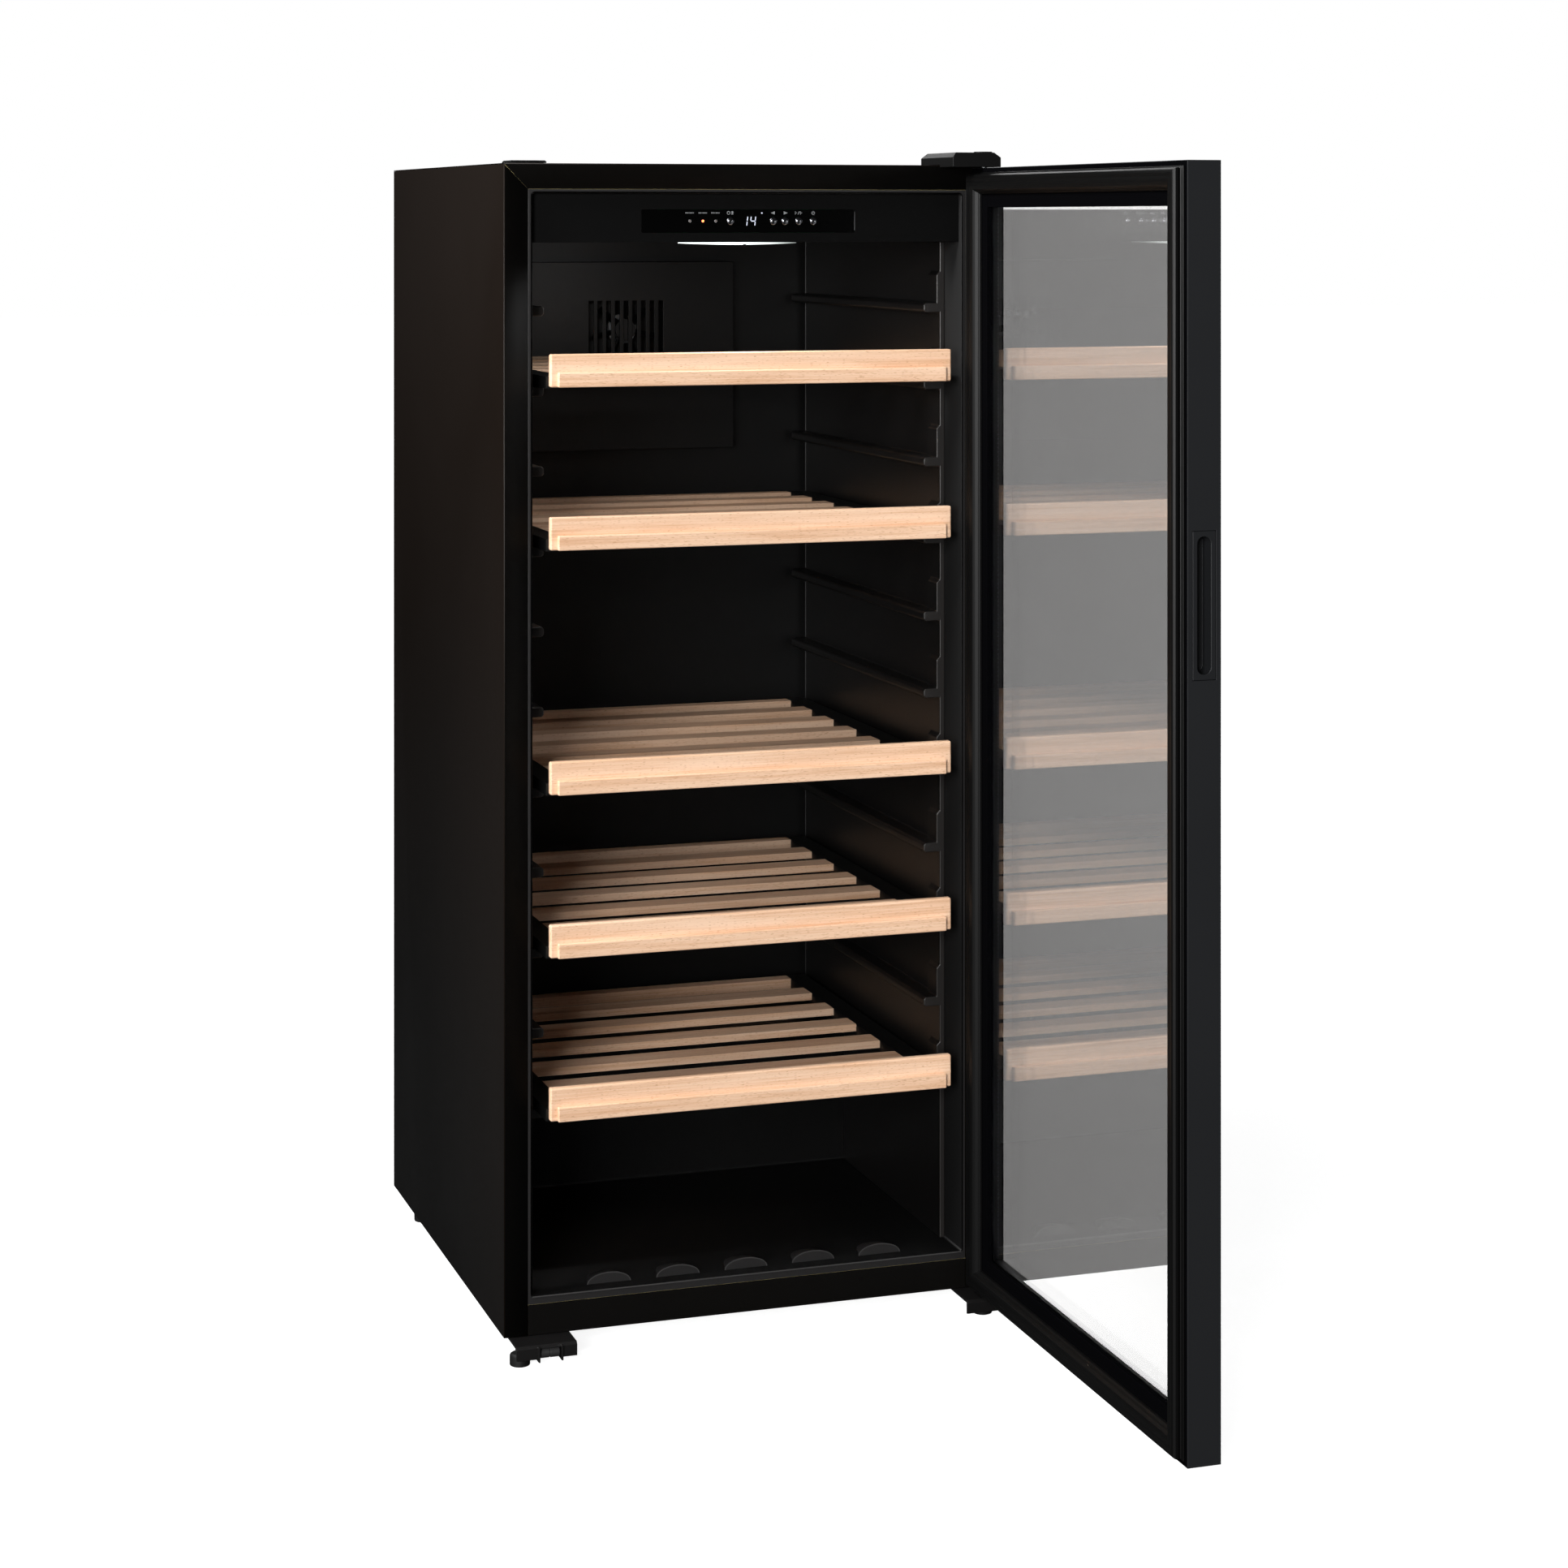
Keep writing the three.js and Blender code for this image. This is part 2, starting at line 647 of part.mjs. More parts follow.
/** The hermetic compressor on its plate and rubber grommets, with its terminal box. */
function compressorUnit() {
  const [x, y] = [compressor.x, bayMiddle()];
  const foot = bayFloor + grommetHeight;
  const r = compressor.radius;
  const can = turned([
    [0, 0], [r - 6, 0], [r, 8], [r, compressor.height * 0.45], [r + 2, compressor.height * 0.47],
    [r + 2, compressor.height * 0.5], [r, compressor.height * 0.52], [r, compressor.height * 0.78],
    [r * 0.9, compressor.height * 0.9], [r * 0.6, compressor.height * 0.98], [0, compressor.height],
  ], [x, y, foot + compressor.plate / 2]);
  const [w, d] = [compressor.plateWidth / 2, compressor.plateDepth / 2];
  const plate = block([x - w, y - d, foot], [x + w, y + d, foot + compressor.plate]);
  const grommets = [-1, 1].flatMap((i) => [-1, 1].map((j) => bar(
    'z', grommetRadius, [x + i * (w - grommetRadius), y + j * (d - grommetRadius)],
    bayFloor + gap, foot + compressor.plate / 2, 2 * arcSteps,
  )));
  const box = block(
    [x - r - terminalBox.depth, y - terminalBox.width / 2, foot + terminalBox.rise],
    [x - r + terminalBox.depth, y + terminalBox.width / 2, foot + terminalBox.rise + terminalBox.height],
  );
  return join(can, plate, box, ...grommets);
}

/** The condenser: flat rows of tube, joined by bends and risers, on end plates. */
function condenserCoil() {
  const [x0, x1] = [coilLeft, coilLeft + coilLength];
  const parts = [];
  for (const level of range(coilLevels)) {
    for (const row of range(coilRows)) {
      const [y, z] = [coilRow(row), coilLevel(level)];
      parts.push(bar('x', coilTubeRadius, [y, z], x0 - coilSocket, x1 + coilSocket, coilSides));
      if (row < coilRows - 1) parts.push(coilBend(row % 2 ? x0 : x1, row % 2 ? -1 : 1, y, z));
    }
  }
  const plateAt = (x) => block(
    [x, coilRow(0) - coilPitch / 4, bayFloor + gap],
    [x + coilFeet, coilRow(coilRows - 1) + coilPitch / 4, coilPlateTop],
  );
  return join(...parts, plateAt(x0 + coilPitch), plateAt(x1 - coilPitch));
}

/** A half-round bend from one tube row to the next. */
function coilBend(x, side, y, z) {
  const bend = new THREE.Curve();
  bend.getPoint = (t) => {
    const turn = Math.PI * t;
    const out = side * Math.sin(turn) * (coilPitch / 2);
    return new THREE.Vector3(x + out, y + (1 - Math.cos(turn)) * (coilPitch / 2), z);
  };
  return tube(bend, coilBendRadius, arcSteps);
}

/** The copper filter drier, held upright beside the compressor. */
function filterDrier() {
  const { radius, length, neck } = drier;
  return turned([
    [0, 0], [neck, 0], [neck, radius], [radius, 2 * radius], [radius, length - 2 * radius],
    [neck, length - radius], [neck, length], [0, length],
  ], [drier.x, bayMiddle(), bayFloor + drier.rise]);
}

/** The tray on the condenser's end plates, which catches and dries off the meltwater. */
function dripTray() {
  const [x, y] = [coilLeft + coilLength / 2, coilRow((coilRows - 1) / 2)];
  const low = coilPlateTop + gap;
  const [w, d] = [tray.width / 2, tray.depth / 2];
  const whole = block([x - w, y - d, low], [x + w, y + d, low + tray.height]);
  return whole.subtract(block(
    [x - w + tray.wall, y - d + tray.wall, low + tray.wall],
    [x + w - tray.wall, y + d - tray.wall, low + tray.height + 1],
  ));
}

/** The mains inlet at the back, with its recess and three pins. */
function mainsInlet() {
  const low = bayFloor + inlet.rise;
  const half = inlet.width / 2;
  const back = caseDepth;
  const body = block([inlet.x - half, back - inlet.depth, low], [inlet.x + half, back, low + inlet.height]);
  const recess = block(
    [inlet.x - half + inlet.rim, back - inlet.recess, low + inlet.rim],
    [inlet.x + half - inlet.rim, back + 1, low + inlet.height - inlet.rim],
  );
  const pins = [-1, 0, 1].map((i) => block(
    [inlet.x + i * 10 - 1.5, back - inlet.recess - 1, low + inlet.height / 2 - 4],
    [inlet.x + i * 10 + 1.5, back - 3, low + inlet.height / 2 + 4],
  ));
  return join(body.subtract(recess), ...pins);
}

// ---------- feet, brackets and hinges ----------
/** A levelling foot: a pad with a threaded stem, up to the plate above it. */
function foot(x, y, top) {
  return turned([
    [0, 0], [footRadius - 1.5, 0], [footRadius, 1.5], [footRadius, footPad - 2], [footRadius - 2, footPad],
    [footStemRadius, footPad], [footStemRadius, top], [0, top],
  ], [x, y, 0]);
}

/** The bent bracket under a front corner, drawn for the right side. */
function frontBracket({ inset, length, reach }) {
  const low = bracketTop - bracketDrop;
  const lip = -reach + bracketPlate;
  const under = bracketTop - bracketPlate;
  return prismX([
    [-reach, low], [-reach, under], [lip, bracketTop], [bracketBack, bracketTop], [bracketBack, under],
    [lip, under], [lip, low],
  ], halfCase - inset - length, halfCase - inset);
}

/** The hinge bracket with the door's lower pin. */
function hingeBracket() {
  const pin = bar('z', pinRadius, [hingeX, hingeY], bracketTop - bracketPlate / 2, bracketTop + pinDepth);
  return frontBracket(hingeFoot).add(pin);
}

/** The left bracket with two ears and the bores for the roller's axle. */
function rollerBracket() {
  const ears = earPlaces.map((x) => block(
    [x - earSheet / 2, earFront, earBottom], [x + earSheet / 2, earBack, bracketTop - bracketPlate / 2],
  ));
  const [outer, inner] = earPlaces;
  const lip = -rollerFoot.reach;
  const window = block([inner, lip - 1, 0], [outer, lip + bracketPlate + gap, bracketTop - bracketBrow]);
  const bore = bar(
    'x', axleRadius + gap, [rollerY, rollerAxisHeight], inner - 2 * earSheet, outer + 2 * earSheet, 2 * arcSteps,
  );
  const plate = frontBracket(rollerFoot).subtract(window);
  return join(plate, ...ears).subtract(bore).mirror([1, 0, 0]);
}

/** The roller with its axle ends in the ears. */
function roller() {
  const [outer, inner] = earPlaces;
  const place = [rollerY, rollerAxisHeight];
  const drum = bar('x', rollerRadius, place, inner + earSheet, outer - earSheet);
  const axle = bar('x', axleRadius, place, inner - earSheet, outer + earSheet, 2 * arcSteps);
  return drum.add(axle).mirror([1, 0, 0]);
}

/** The top hinge plate with the door's upper pin. */
function topHingePlate() {
  const low = caseTop + gap;
  const right = halfCase - hingePlate.inset;
  const plate = block(
    [right - hingePlate.width, hingePlate.front, low], [right, hingePlate.back, low + hingePlate.thickness],
  );
  return plate.add(bar(
    'z', pinRadius, [hingeX, hingeY], doorTop - pinDepth + pinClearance, low + hingePlate.thickness / 2,
  ));
}

/** An outline with its upper corners cut off. */
const chamfered = (a0, a1, low, high, cut) => [
  [a0, low], [a0, high - cut], [a0 + cut, high], [a1 - cut, high], [a1, high - cut], [a1, low],
];

/** The cover over the top hinge: a shell with chamfered edges and a boss over the pin. */
function topHingeCover() {
  const { inset, width, back, front, height, wall, chamfer } = hingeCover;
  const right = halfCase - inset;
  const left = right - width;
  const low = caseTop + gap;
  const high = low + height;
  const across = (grow, top) => prismY(
    chamfered(left - grow, right + grow, low - (grow < 0 ? 1 : 0), top, chamfer), front - grow, back + grow,
  );
  const along = (grow, top) => prismX(
    chamfered(front - grow, back + grow, low - (grow < 0 ? 1 : 0), top, chamfer), left - grow, right + grow,
  );
  const outside = across(0, high - coverBossHeight).intersect(along(0, high - coverBossHeight));
  const inside = across(-wall, high - coverBossHeight - wall).intersect(along(-wall, high - coverBossHeight - wall));
  const boss = bar('z', coverBossRadius, [hingeX - 1, hingeY], high - coverBossHeight - coverBossSink, high);
  const skirt = block([left, front, doorTop + coverSkirt.clearance], [right, coverSkirt.back, low + wall / 2])
    .subtract(block([left + wall, front + wall, doorTop], [right - wall, coverSkirt.back + 1, low + wall]));
  return outside.subtract(inside).add(skirt).add(boss);
}

/** The flat cap over the unused hinge holes on the left. */
function leftHoleCap() {
  const { inset, width, front, back, height, chamfer } = holeCap;
  const left = inset - halfCase;
  const right = left + width;
  const low = caseTop + gap;
  return prismY(chamfered(left, right, low, low + height, chamfer), front, back)
    .intersect(prismX(chamfered(front, back, low, low + height, chamfer), left, right));
}

// ---------- door, drawn closed ----------
/** A rectangular ring in the door's plane between two half widths, with y and z limits. */
function doorRing(outerInset, width, y0, y1) {
  const outside = block(
    [-halfCase + outerInset, y0, doorBottom + outerInset], [halfCase - outerInset, y1, doorTop - outerInset],
  );
  const inset = outerInset + width;
  return outside.subtract(block(
    [-halfCase + inset, y0 - 1, doorBottom + inset], [halfCase - inset, y1 + 1, doorTop - inset],
  ));
}

/** The groove that holds the panes, to be cut from the frame. */
const paneGroove = () => block(
  [-openingHalf - paneHold, paneOuterFace - gap, doorBottom + frameWidth - paneHold],
  [openingHalf + paneHold, paneInnerFace + gap, doorTop - frameWidth + paneHold],
);

/** The splayed reveal outside the outer pane, to be cut from the frame. */
function outerReveal() {
  const past = 1; // carried past the outer face, so that the cut is clean
  const spread = (frameWidth - frameBorder) * (1 + past / (paneOuterFace - doorOuter));
  const [low, high] = [doorBottom + frameWidth, doorTop - frameWidth];
  const across = prismZ([
    [-openingHalf, paneOuterFace], [openingHalf, paneOuterFace],
    [openingHalf + spread, doorOuter - past], [-openingHalf - spread, doorOuter - past],
  ], doorBottom - past, doorTop + past);
  const upright = prismX([
    [paneOuterFace, low], [paneOuterFace, high], [doorOuter - past, high + spread], [doorOuter - past, low - spread],
  ], -halfCase - past, halfCase + past);
  return across.intersect(upright);
}

/** The upright on the hinge side, bored for both pins. */
function hingeStile() {
  const upright = block([openingHalf, doorOuter, doorBottom], [halfCase, doorInner, doorTop]);
  const bore = (from, to) => bar('z', pinRadius + pinClearance, [hingeX, hingeY], from, to);
  return upright
    .subtract(paneGroove())
    .subtract(outerReveal())
    .subtract(bore(doorBottom - 1, bracketTop + pinDepth + 1))
    .subtract(bore(doorTop - pinDepth - 1, doorTop + 1));
}

/** The upright on the handle side, with the pocket for the grip. */
function handleStile() {
  const upright = block([-halfCase, doorOuter, doorBottom], [-openingHalf, doorInner, doorTop]);
  return upright.subtract(paneGroove()).subtract(outerReveal()).subtract(block(
    [-halfCase - 1, handleY - handle.width / 2 - gap, handleMiddle - handle.length / 2 - gap],
    [-halfCase + handle.depth + gap, handleY + handle.width / 2 + gap, handleMiddle + handle.length / 2 + gap],
  ));
}

/** A cross rail between the uprights. */
const doorRail = (low) => block(
  [-openingHalf + gap, doorOuter, low], [openingHalf - gap, doorInner, low + frameWidth],
).subtract(paneGroove()).subtract(outerReveal());

/** The recessed grip with its round-ended finger slot, in the door's edge. */
function handleInsert() {
  const body = block(
    [-halfCase, handleY - handle.width / 2, handleMiddle - handle.length / 2],
    [-halfCase + handle.depth, handleY + handle.width / 2, handleMiddle + handle.length / 2],
  );
  const slot = roundedRectangle(
    handle.slotWidth, handle.slotLength, handle.slotWidth / 2 - gap, handleY, handleMiddle,
  );
  return body.subtract(prismX(slot, -halfCase - 1, -halfCase + handle.depth - handleFloor));
}

/** A pane between two depths, its edges in the frame's groove. */
const pane = (y0, y1) => block(
  [-openingHalf - paneHold + gap, y0, doorBottom + frameWidth - paneHold + gap],
  [openingHalf + paneHold - gap, y1, doorTop - frameWidth + paneHold - gap],
);

const outerGlass = () => pane(paneOuterFace, spacerOuter);

const innerGlass = () => pane(spacerInner, paneInnerFace);

const glassSpacer = () => doorRing(
  frameWidth - paneHold + gap, spacerWidth, spacerOuter + gap, spacerInner - gap,
);

/** The bellows gasket: a foot in the door's groove, a neck and a soft bulb. */
function doorGasket() {
  const start = doorInner + gap;
  const middle = gasketInset + gasketFoot.width / 2;
  const layer = (part, from) => doorRing(middle - part.width / 2, part.width, from, from + part.height);
  const neckStart = start + gasketFoot.height;
  return join(
    layer(gasketFoot, start),
    layer({ ...gasketNeck, height: gasketNeck.height + 1 }, neckStart - 0.5),
    layer(gasketBulb, neckStart + gasketNeck.height),
  );
}

// ---------- shelves ----------
/** A shelf's front board with its proud lower band. */
function shelfBoard(ledge) {
  const low = ledge + boardLift;
  const board = prismY(
    roundedRectangle(2 * boardHalf, boardHeight, 2, 0, low + boardHeight / 2),
    boardFront, boardFront + boardThickness,
  );
  const band = block(
    [-boardHalf + bandInset, boardFront - bandProud, low],
    [boardHalf - bandInset, boardFront + 1, low + bandHeight],
  );
  return board.add(band);
}

/** A shelf's deck: two runners, a back rail and cross slats. */
function shelfDeck(ledge) {
  const low = ledge + gap;
  const front = boardFront + boardThickness + gap;
  const runners = [-1, 1].map((side) => block(
    [side > 0 ? deckHalf - runnerWidth : -deckHalf, front, low],
    [side > 0 ? deckHalf : -deckHalf + runnerWidth, deckBack, low + runnerHeight],
  ));
  const inner = deckHalf - runnerWidth / 2;
  const top = low + runnerHeight;
  const pitch = (deckBack - backRailWidth - front) / slatCount;
  const slats = range(slatCount).map((i) => block(
    [-inner, front + i * pitch, top - slatThickness], [inner, front + i * pitch + slatWidth, top],
  ));
  const backRail = block([-inner, deckBack - backRailWidth, low + 1], [inner, deckBack, top]);
  return join(...runners, ...slats, backRail);
}

// ---------- assembly ----------
const cabinet = new THREE.Group();
cabinet.add(
  piece('side_panel_left', sidePanel(-1), paintedSteel),
  piece('side_panel_right', sidePanel(1), paintedSteel),
  piece('top_panel', topPanel(), paintedSteel),
  piece('back_panel', backPanel(), galvanised),
  piece('bottom_front_rail', frontRail(), flangePaint),
  piece('base_pan', basePan(), galvanised),
  piece('machine_bay_wall', bayWall(), galvanised),
  piece('machine_bay_ceiling', bayCeiling(), galvanised),
  piece('liner', liner(), linerPlastic),
  piece('insulation', insulation(), foam),
  piece('shelf_rack_left', shelfRack(-1), linerPlastic),
  piece('shelf_rack_right', shelfRack(1), linerPlastic),
  piece('control_fascia', controlFascia(), texturedPlastic),
  piece('display_window', displayWindow(), windowPlastic),
  piece('control_board', controlBoard(), greenBoard),
  piece('indicator_light_guide', lightGuide(), clearPlastic),
  piece('lamp_lens', lampLens(), clearPlastic),
  piece('fan_cover', fanCover(), blackPlastic),
  piece('fan_rotor', fanRotor(), blackPlastic),
  piece('fan_motor', fanMotor(), galvanised),
  piece('evaporator', evaporatorBlock(), aluminium),
  piece('compressor', compressorUnit(), blackSteel),
  piece('condenser', condenserCoil(), copper),
  piece('filter_drier', filterDrier(), copper),
  piece('drip_tray', dripTray(), blackPlastic),
  piece('mains_inlet', mainsInlet(), blackPlastic),
  piece('hinge_plate_top', topHingePlate(), galvanised),
  piece('hinge_cover_top', topHingeCover(), blackPlastic),
  piece('hinge_hole_cap', leftHoleCap(), blackPlastic),
  piece('hinge_bracket_bottom', hingeBracket(), blackSteel),
  piece('roller_bracket_left', rollerBracket(), blackSteel),
  piece('roller_left', roller(), blackPlastic),
);

const frontFootTop = bracketTop - bracketPlate - gap;
const rearFootTop = caseBottom - gap;
const frontFootX = halfCase - footFrontSideInset;
const rearFootX = halfCase - footRearSideInset;
const rearFootY = caseDepth - footRearInset;
cabinet.add(
  piece('foot_front_left', foot(-frontFootX, footFrontY, frontFootTop), footRubber),
  piece('foot_front_right', foot(frontFootX, footFrontY, frontFootTop), footRubber),
  piece('foot_rear_left', foot(-rearFootX, rearFootY, rearFootTop), footRubber),
  piece('foot_rear_right', foot(rearFootX, rearFootY, rearFootTop), footRubber),
);

for (const [name, x] of Object.entries(buttonPlaces)) {
  cabinet.add(piece(`button_${name}`, button(x), chromed));
}

shelfLedges.forEach((k, i) => {
  cabinet.add(
    piece(`shelf_${i + 1}_board`, shelfBoard(ledgeTop(k)), beech),
    piece(`shelf_${i + 1}_deck`, shelfDeck(ledgeTop(k)), beech),
  );
});

const door = new THREE.Group();
door.position.set(hingeX, hingeY, 0);
door.rotation.z = doorRestAngle;
const doorPieces = [
  piece('door_stile_hinge', hingeStile(), flangePaint),
  piece('door_stile_handle', handleStile(), flangePaint),
  piece('door_rail_top', doorRail(doorTop - frameWidth), flangePaint),
  piece('door_rail_bottom', doorRail(doorBottom), flangePaint),
  piece('outer_glass', outerGlass(), tintedGlass),
  piece('inner_glass', innerGlass(), tintedGlass),
  piece('glass_spacer', glassSpacer(), aluminium),
  piece('door_gasket', doorGasket(), gasketRubber),
  piece('handle_insert', handleInsert(), blackPlastic),
];
doorPieces.forEach((mesh) => mesh.position.set(-hingeX, -hingeY, 0));
door.add(...doorPieces);
cabinet.add(door);

// The origin is on the floor under the middle of the open cooler's outer box.
const openDoorSide = hingeX - (doorOuter - hingeY);
const openDoorFront = hingeY - (hingeX + halfCase);
const wineCooler = new THREE.Group();
cabinet.position.set((halfCase - openDoorSide) / 2, -(openDoorFront + caseDepth) / 2, 0);
wineCooler.add(cabinet);

export default wineCooler;
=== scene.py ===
"""A free-standing wine cooler with a glass door, shown with the door open at a right angle.

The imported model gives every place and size. Each class below builds one sub-assembly of the
cooler around it, dresses it in its finishes and lets it ride on the body it belongs to.
"""

import logging
import math
from collections.abc import Callable
from dataclasses import dataclass
from enum import Enum

import bmesh
import bpy
from mathutils import Matrix, Vector


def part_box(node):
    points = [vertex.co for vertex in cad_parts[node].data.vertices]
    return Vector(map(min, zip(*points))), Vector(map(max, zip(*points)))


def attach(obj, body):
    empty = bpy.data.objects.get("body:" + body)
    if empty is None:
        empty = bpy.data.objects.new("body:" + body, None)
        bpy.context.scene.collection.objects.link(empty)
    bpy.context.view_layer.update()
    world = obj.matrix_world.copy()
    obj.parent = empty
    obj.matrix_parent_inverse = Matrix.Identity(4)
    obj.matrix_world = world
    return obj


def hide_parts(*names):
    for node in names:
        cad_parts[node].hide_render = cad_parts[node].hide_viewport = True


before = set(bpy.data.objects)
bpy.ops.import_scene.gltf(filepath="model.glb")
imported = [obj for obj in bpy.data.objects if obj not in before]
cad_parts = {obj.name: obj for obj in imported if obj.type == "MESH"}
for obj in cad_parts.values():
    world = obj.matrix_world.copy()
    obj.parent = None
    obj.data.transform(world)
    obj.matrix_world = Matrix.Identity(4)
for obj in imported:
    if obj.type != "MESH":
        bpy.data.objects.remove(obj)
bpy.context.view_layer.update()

Tree, Node, Socket = bpy.types.NodeTree, bpy.types.Node, bpy.types.NodeSocket
Shape, Piece = bmesh.types.BMesh, bpy.types.Object

MM = 0.001
FULL_TURN = 2 * math.pi
X, Y, Z = Vector((1, 0, 0)), Vector((0, 1, 0)), Vector((0, 0, 1))

logging.basicConfig(level=logging.INFO, format="%(name)s: %(message)s")
log = logging.getLogger("wine_cooler")


class Body(Enum):
    """The rigid bodies that pieces ride on."""

    CABINET = "cabinet"
    DOOR = "door"
    FAN = "fan"
    ROLLER = "roller"
    LEFT_FOOT = "left_foot"
    RIGHT_FOOT = "right_foot"


# ---------- colours and nodes ----------
def linear(code: str) -> tuple[float, float, float, float]:
    """Turns an sRGB hex colour into linear light.

    Args:
        code: the colour as "#rrggbb".

    Returns:
        Linear red, green and blue, with an alpha of 1.
    """
    parts = [int(code[i:i + 2], 16) / 255 for i in (1, 3, 5)]
    light = [c / 12.92 if c <= 0.04045 else ((c + 0.055) / 1.055) ** 2.4 for c in parts]
    return (light[0], light[1], light[2], 1.0)


def add(tree: Tree, kind: str, inputs: dict | None = None,
        stops: list[tuple[float, str]] | None = None, **settings: object) -> Node:
    """Adds a shader node with its settings, values and links.

    Args:
        tree: the node tree to add to.
        kind: the node's type name.
        inputs: input name or number to a value or to the output socket that feeds it.
        stops: for a colour ramp, the place from 0 to 1 and the hex colour of each stop.
        **settings: the node's own properties.

    Returns:
        The new node.
    """
    node = tree.nodes.new(kind)
    for key, value in settings.items():
        setattr(node, key, value)
    for key, value in (inputs or {}).items():
        if isinstance(value, Socket):
            tree.links.new(value, node.inputs[key])
        else:
            node.inputs[key].default_value = value
    for number, (place, code) in enumerate(stops or []):
        elements = node.color_ramp.elements
        element = elements[number] if number < len(elements) else elements.new(place)
        element.position = place
        element.color = linear(code)
    return node


# ---------- finishes ----------
@dataclass(frozen=True)
class Finish:
    """A finish: what a surface is made of, and a slot name that is kept but not used here."""

    name: str
    slot: str

    def material(self) -> bpy.types.Material:
        """Builds the material once and returns it."""
        made = bpy.data.materials.get(self.name)
        if made is None:
            made = bpy.data.materials.new(self.name)
            made.use_nodes = True
            tree = made.node_tree
            place = add(tree, "ShaderNodeTexCoord").outputs["Object"]
            self.dress(tree, tree.nodes["Principled BSDF"], place)
        return made

    def dress(self, tree: Tree, surface: Node, place: Socket) -> None:
        """Sets the surface shader up; each finish has its own."""
        raise NotImplementedError


@dataclass(frozen=True)
class PaintedSteel(Finish):
    """Powder-coated sheet steel: satin, with a faint orange peel."""

    colour: str = "#1d1a18"
    roughness: float = 0.42
    specular: float = 0.3
    peel_mm: float = 1.6
    peel_depth_mm: float = 0.012
    cloud_mm: float = 140.0
    gloss_spread: float = 0.05

    def dress(self, tree: Tree, surface: Node, place: Socket) -> None:
        """Sets the paint up: colour, a slow change of gloss and the peel."""
        cloud = add(tree, "ShaderNodeTexNoise", {
            "Vector": place, "Scale": 1 / (self.cloud_mm * MM), "Detail": 2.0,
        })
        gloss = add(tree, "ShaderNodeMapRange", {
            "Value": cloud.outputs["Fac"],
            "To Min": self.roughness - self.gloss_spread, "To Max": self.roughness + self.gloss_spread,
        })
        peel = add(tree, "ShaderNodeTexNoise", {
            "Vector": place, "Scale": 1 / (self.peel_mm * MM), "Detail": 1.0,
        })
        relief = add(tree, "ShaderNodeBump", {
            "Height": peel.outputs["Fac"], "Distance": self.peel_depth_mm * MM, "Strength": 1.0,
        })
        surface.inputs["Base Color"].default_value = linear(self.colour)
        surface.inputs["Specular IOR Level"].default_value = self.specular
        tree.links.new(gloss.outputs["Result"], surface.inputs["Roughness"])
        tree.links.new(relief.outputs["Normal"], surface.inputs["Normal"])


@dataclass(frozen=True)
class MouldedPlastic(Finish):
    """Injection-moulded ABS with a spark-eroded grain."""

    colour: str = "#141414"
    roughness: float = 0.5
    specular: float = 0.4
    grain_mm: float = 0.9
    grain_depth_mm: float = 0.03
    gloss_spread: float = 0.06

    def dress(self, tree: Tree, surface: Node, place: Socket) -> None:
        """Sets the plastic up: colour, a gloss that follows the grain, and the grain's relief."""
        grain = add(tree, "ShaderNodeTexNoise", {
            "Vector": place, "Scale": 1 / (self.grain_mm * MM), "Detail": 3.0, "Roughness": 0.6,
        })
        gloss = add(tree, "ShaderNodeMapRange", {
            "Value": grain.outputs["Fac"],
            "To Min": self.roughness - self.gloss_spread, "To Max": self.roughness + self.gloss_spread,
        })
        relief = add(tree, "ShaderNodeBump", {
            "Height": grain.outputs["Fac"], "Distance": self.grain_depth_mm * MM, "Strength": 1.0,
        })
        surface.inputs["Base Color"].default_value = linear(self.colour)
        surface.inputs["Specular IOR Level"].default_value = self.specular
        tree.links.new(gloss.outputs["Result"], surface.inputs["Roughness"])
        tree.links.new(relief.outputs["Normal"], surface.inputs["Normal"])


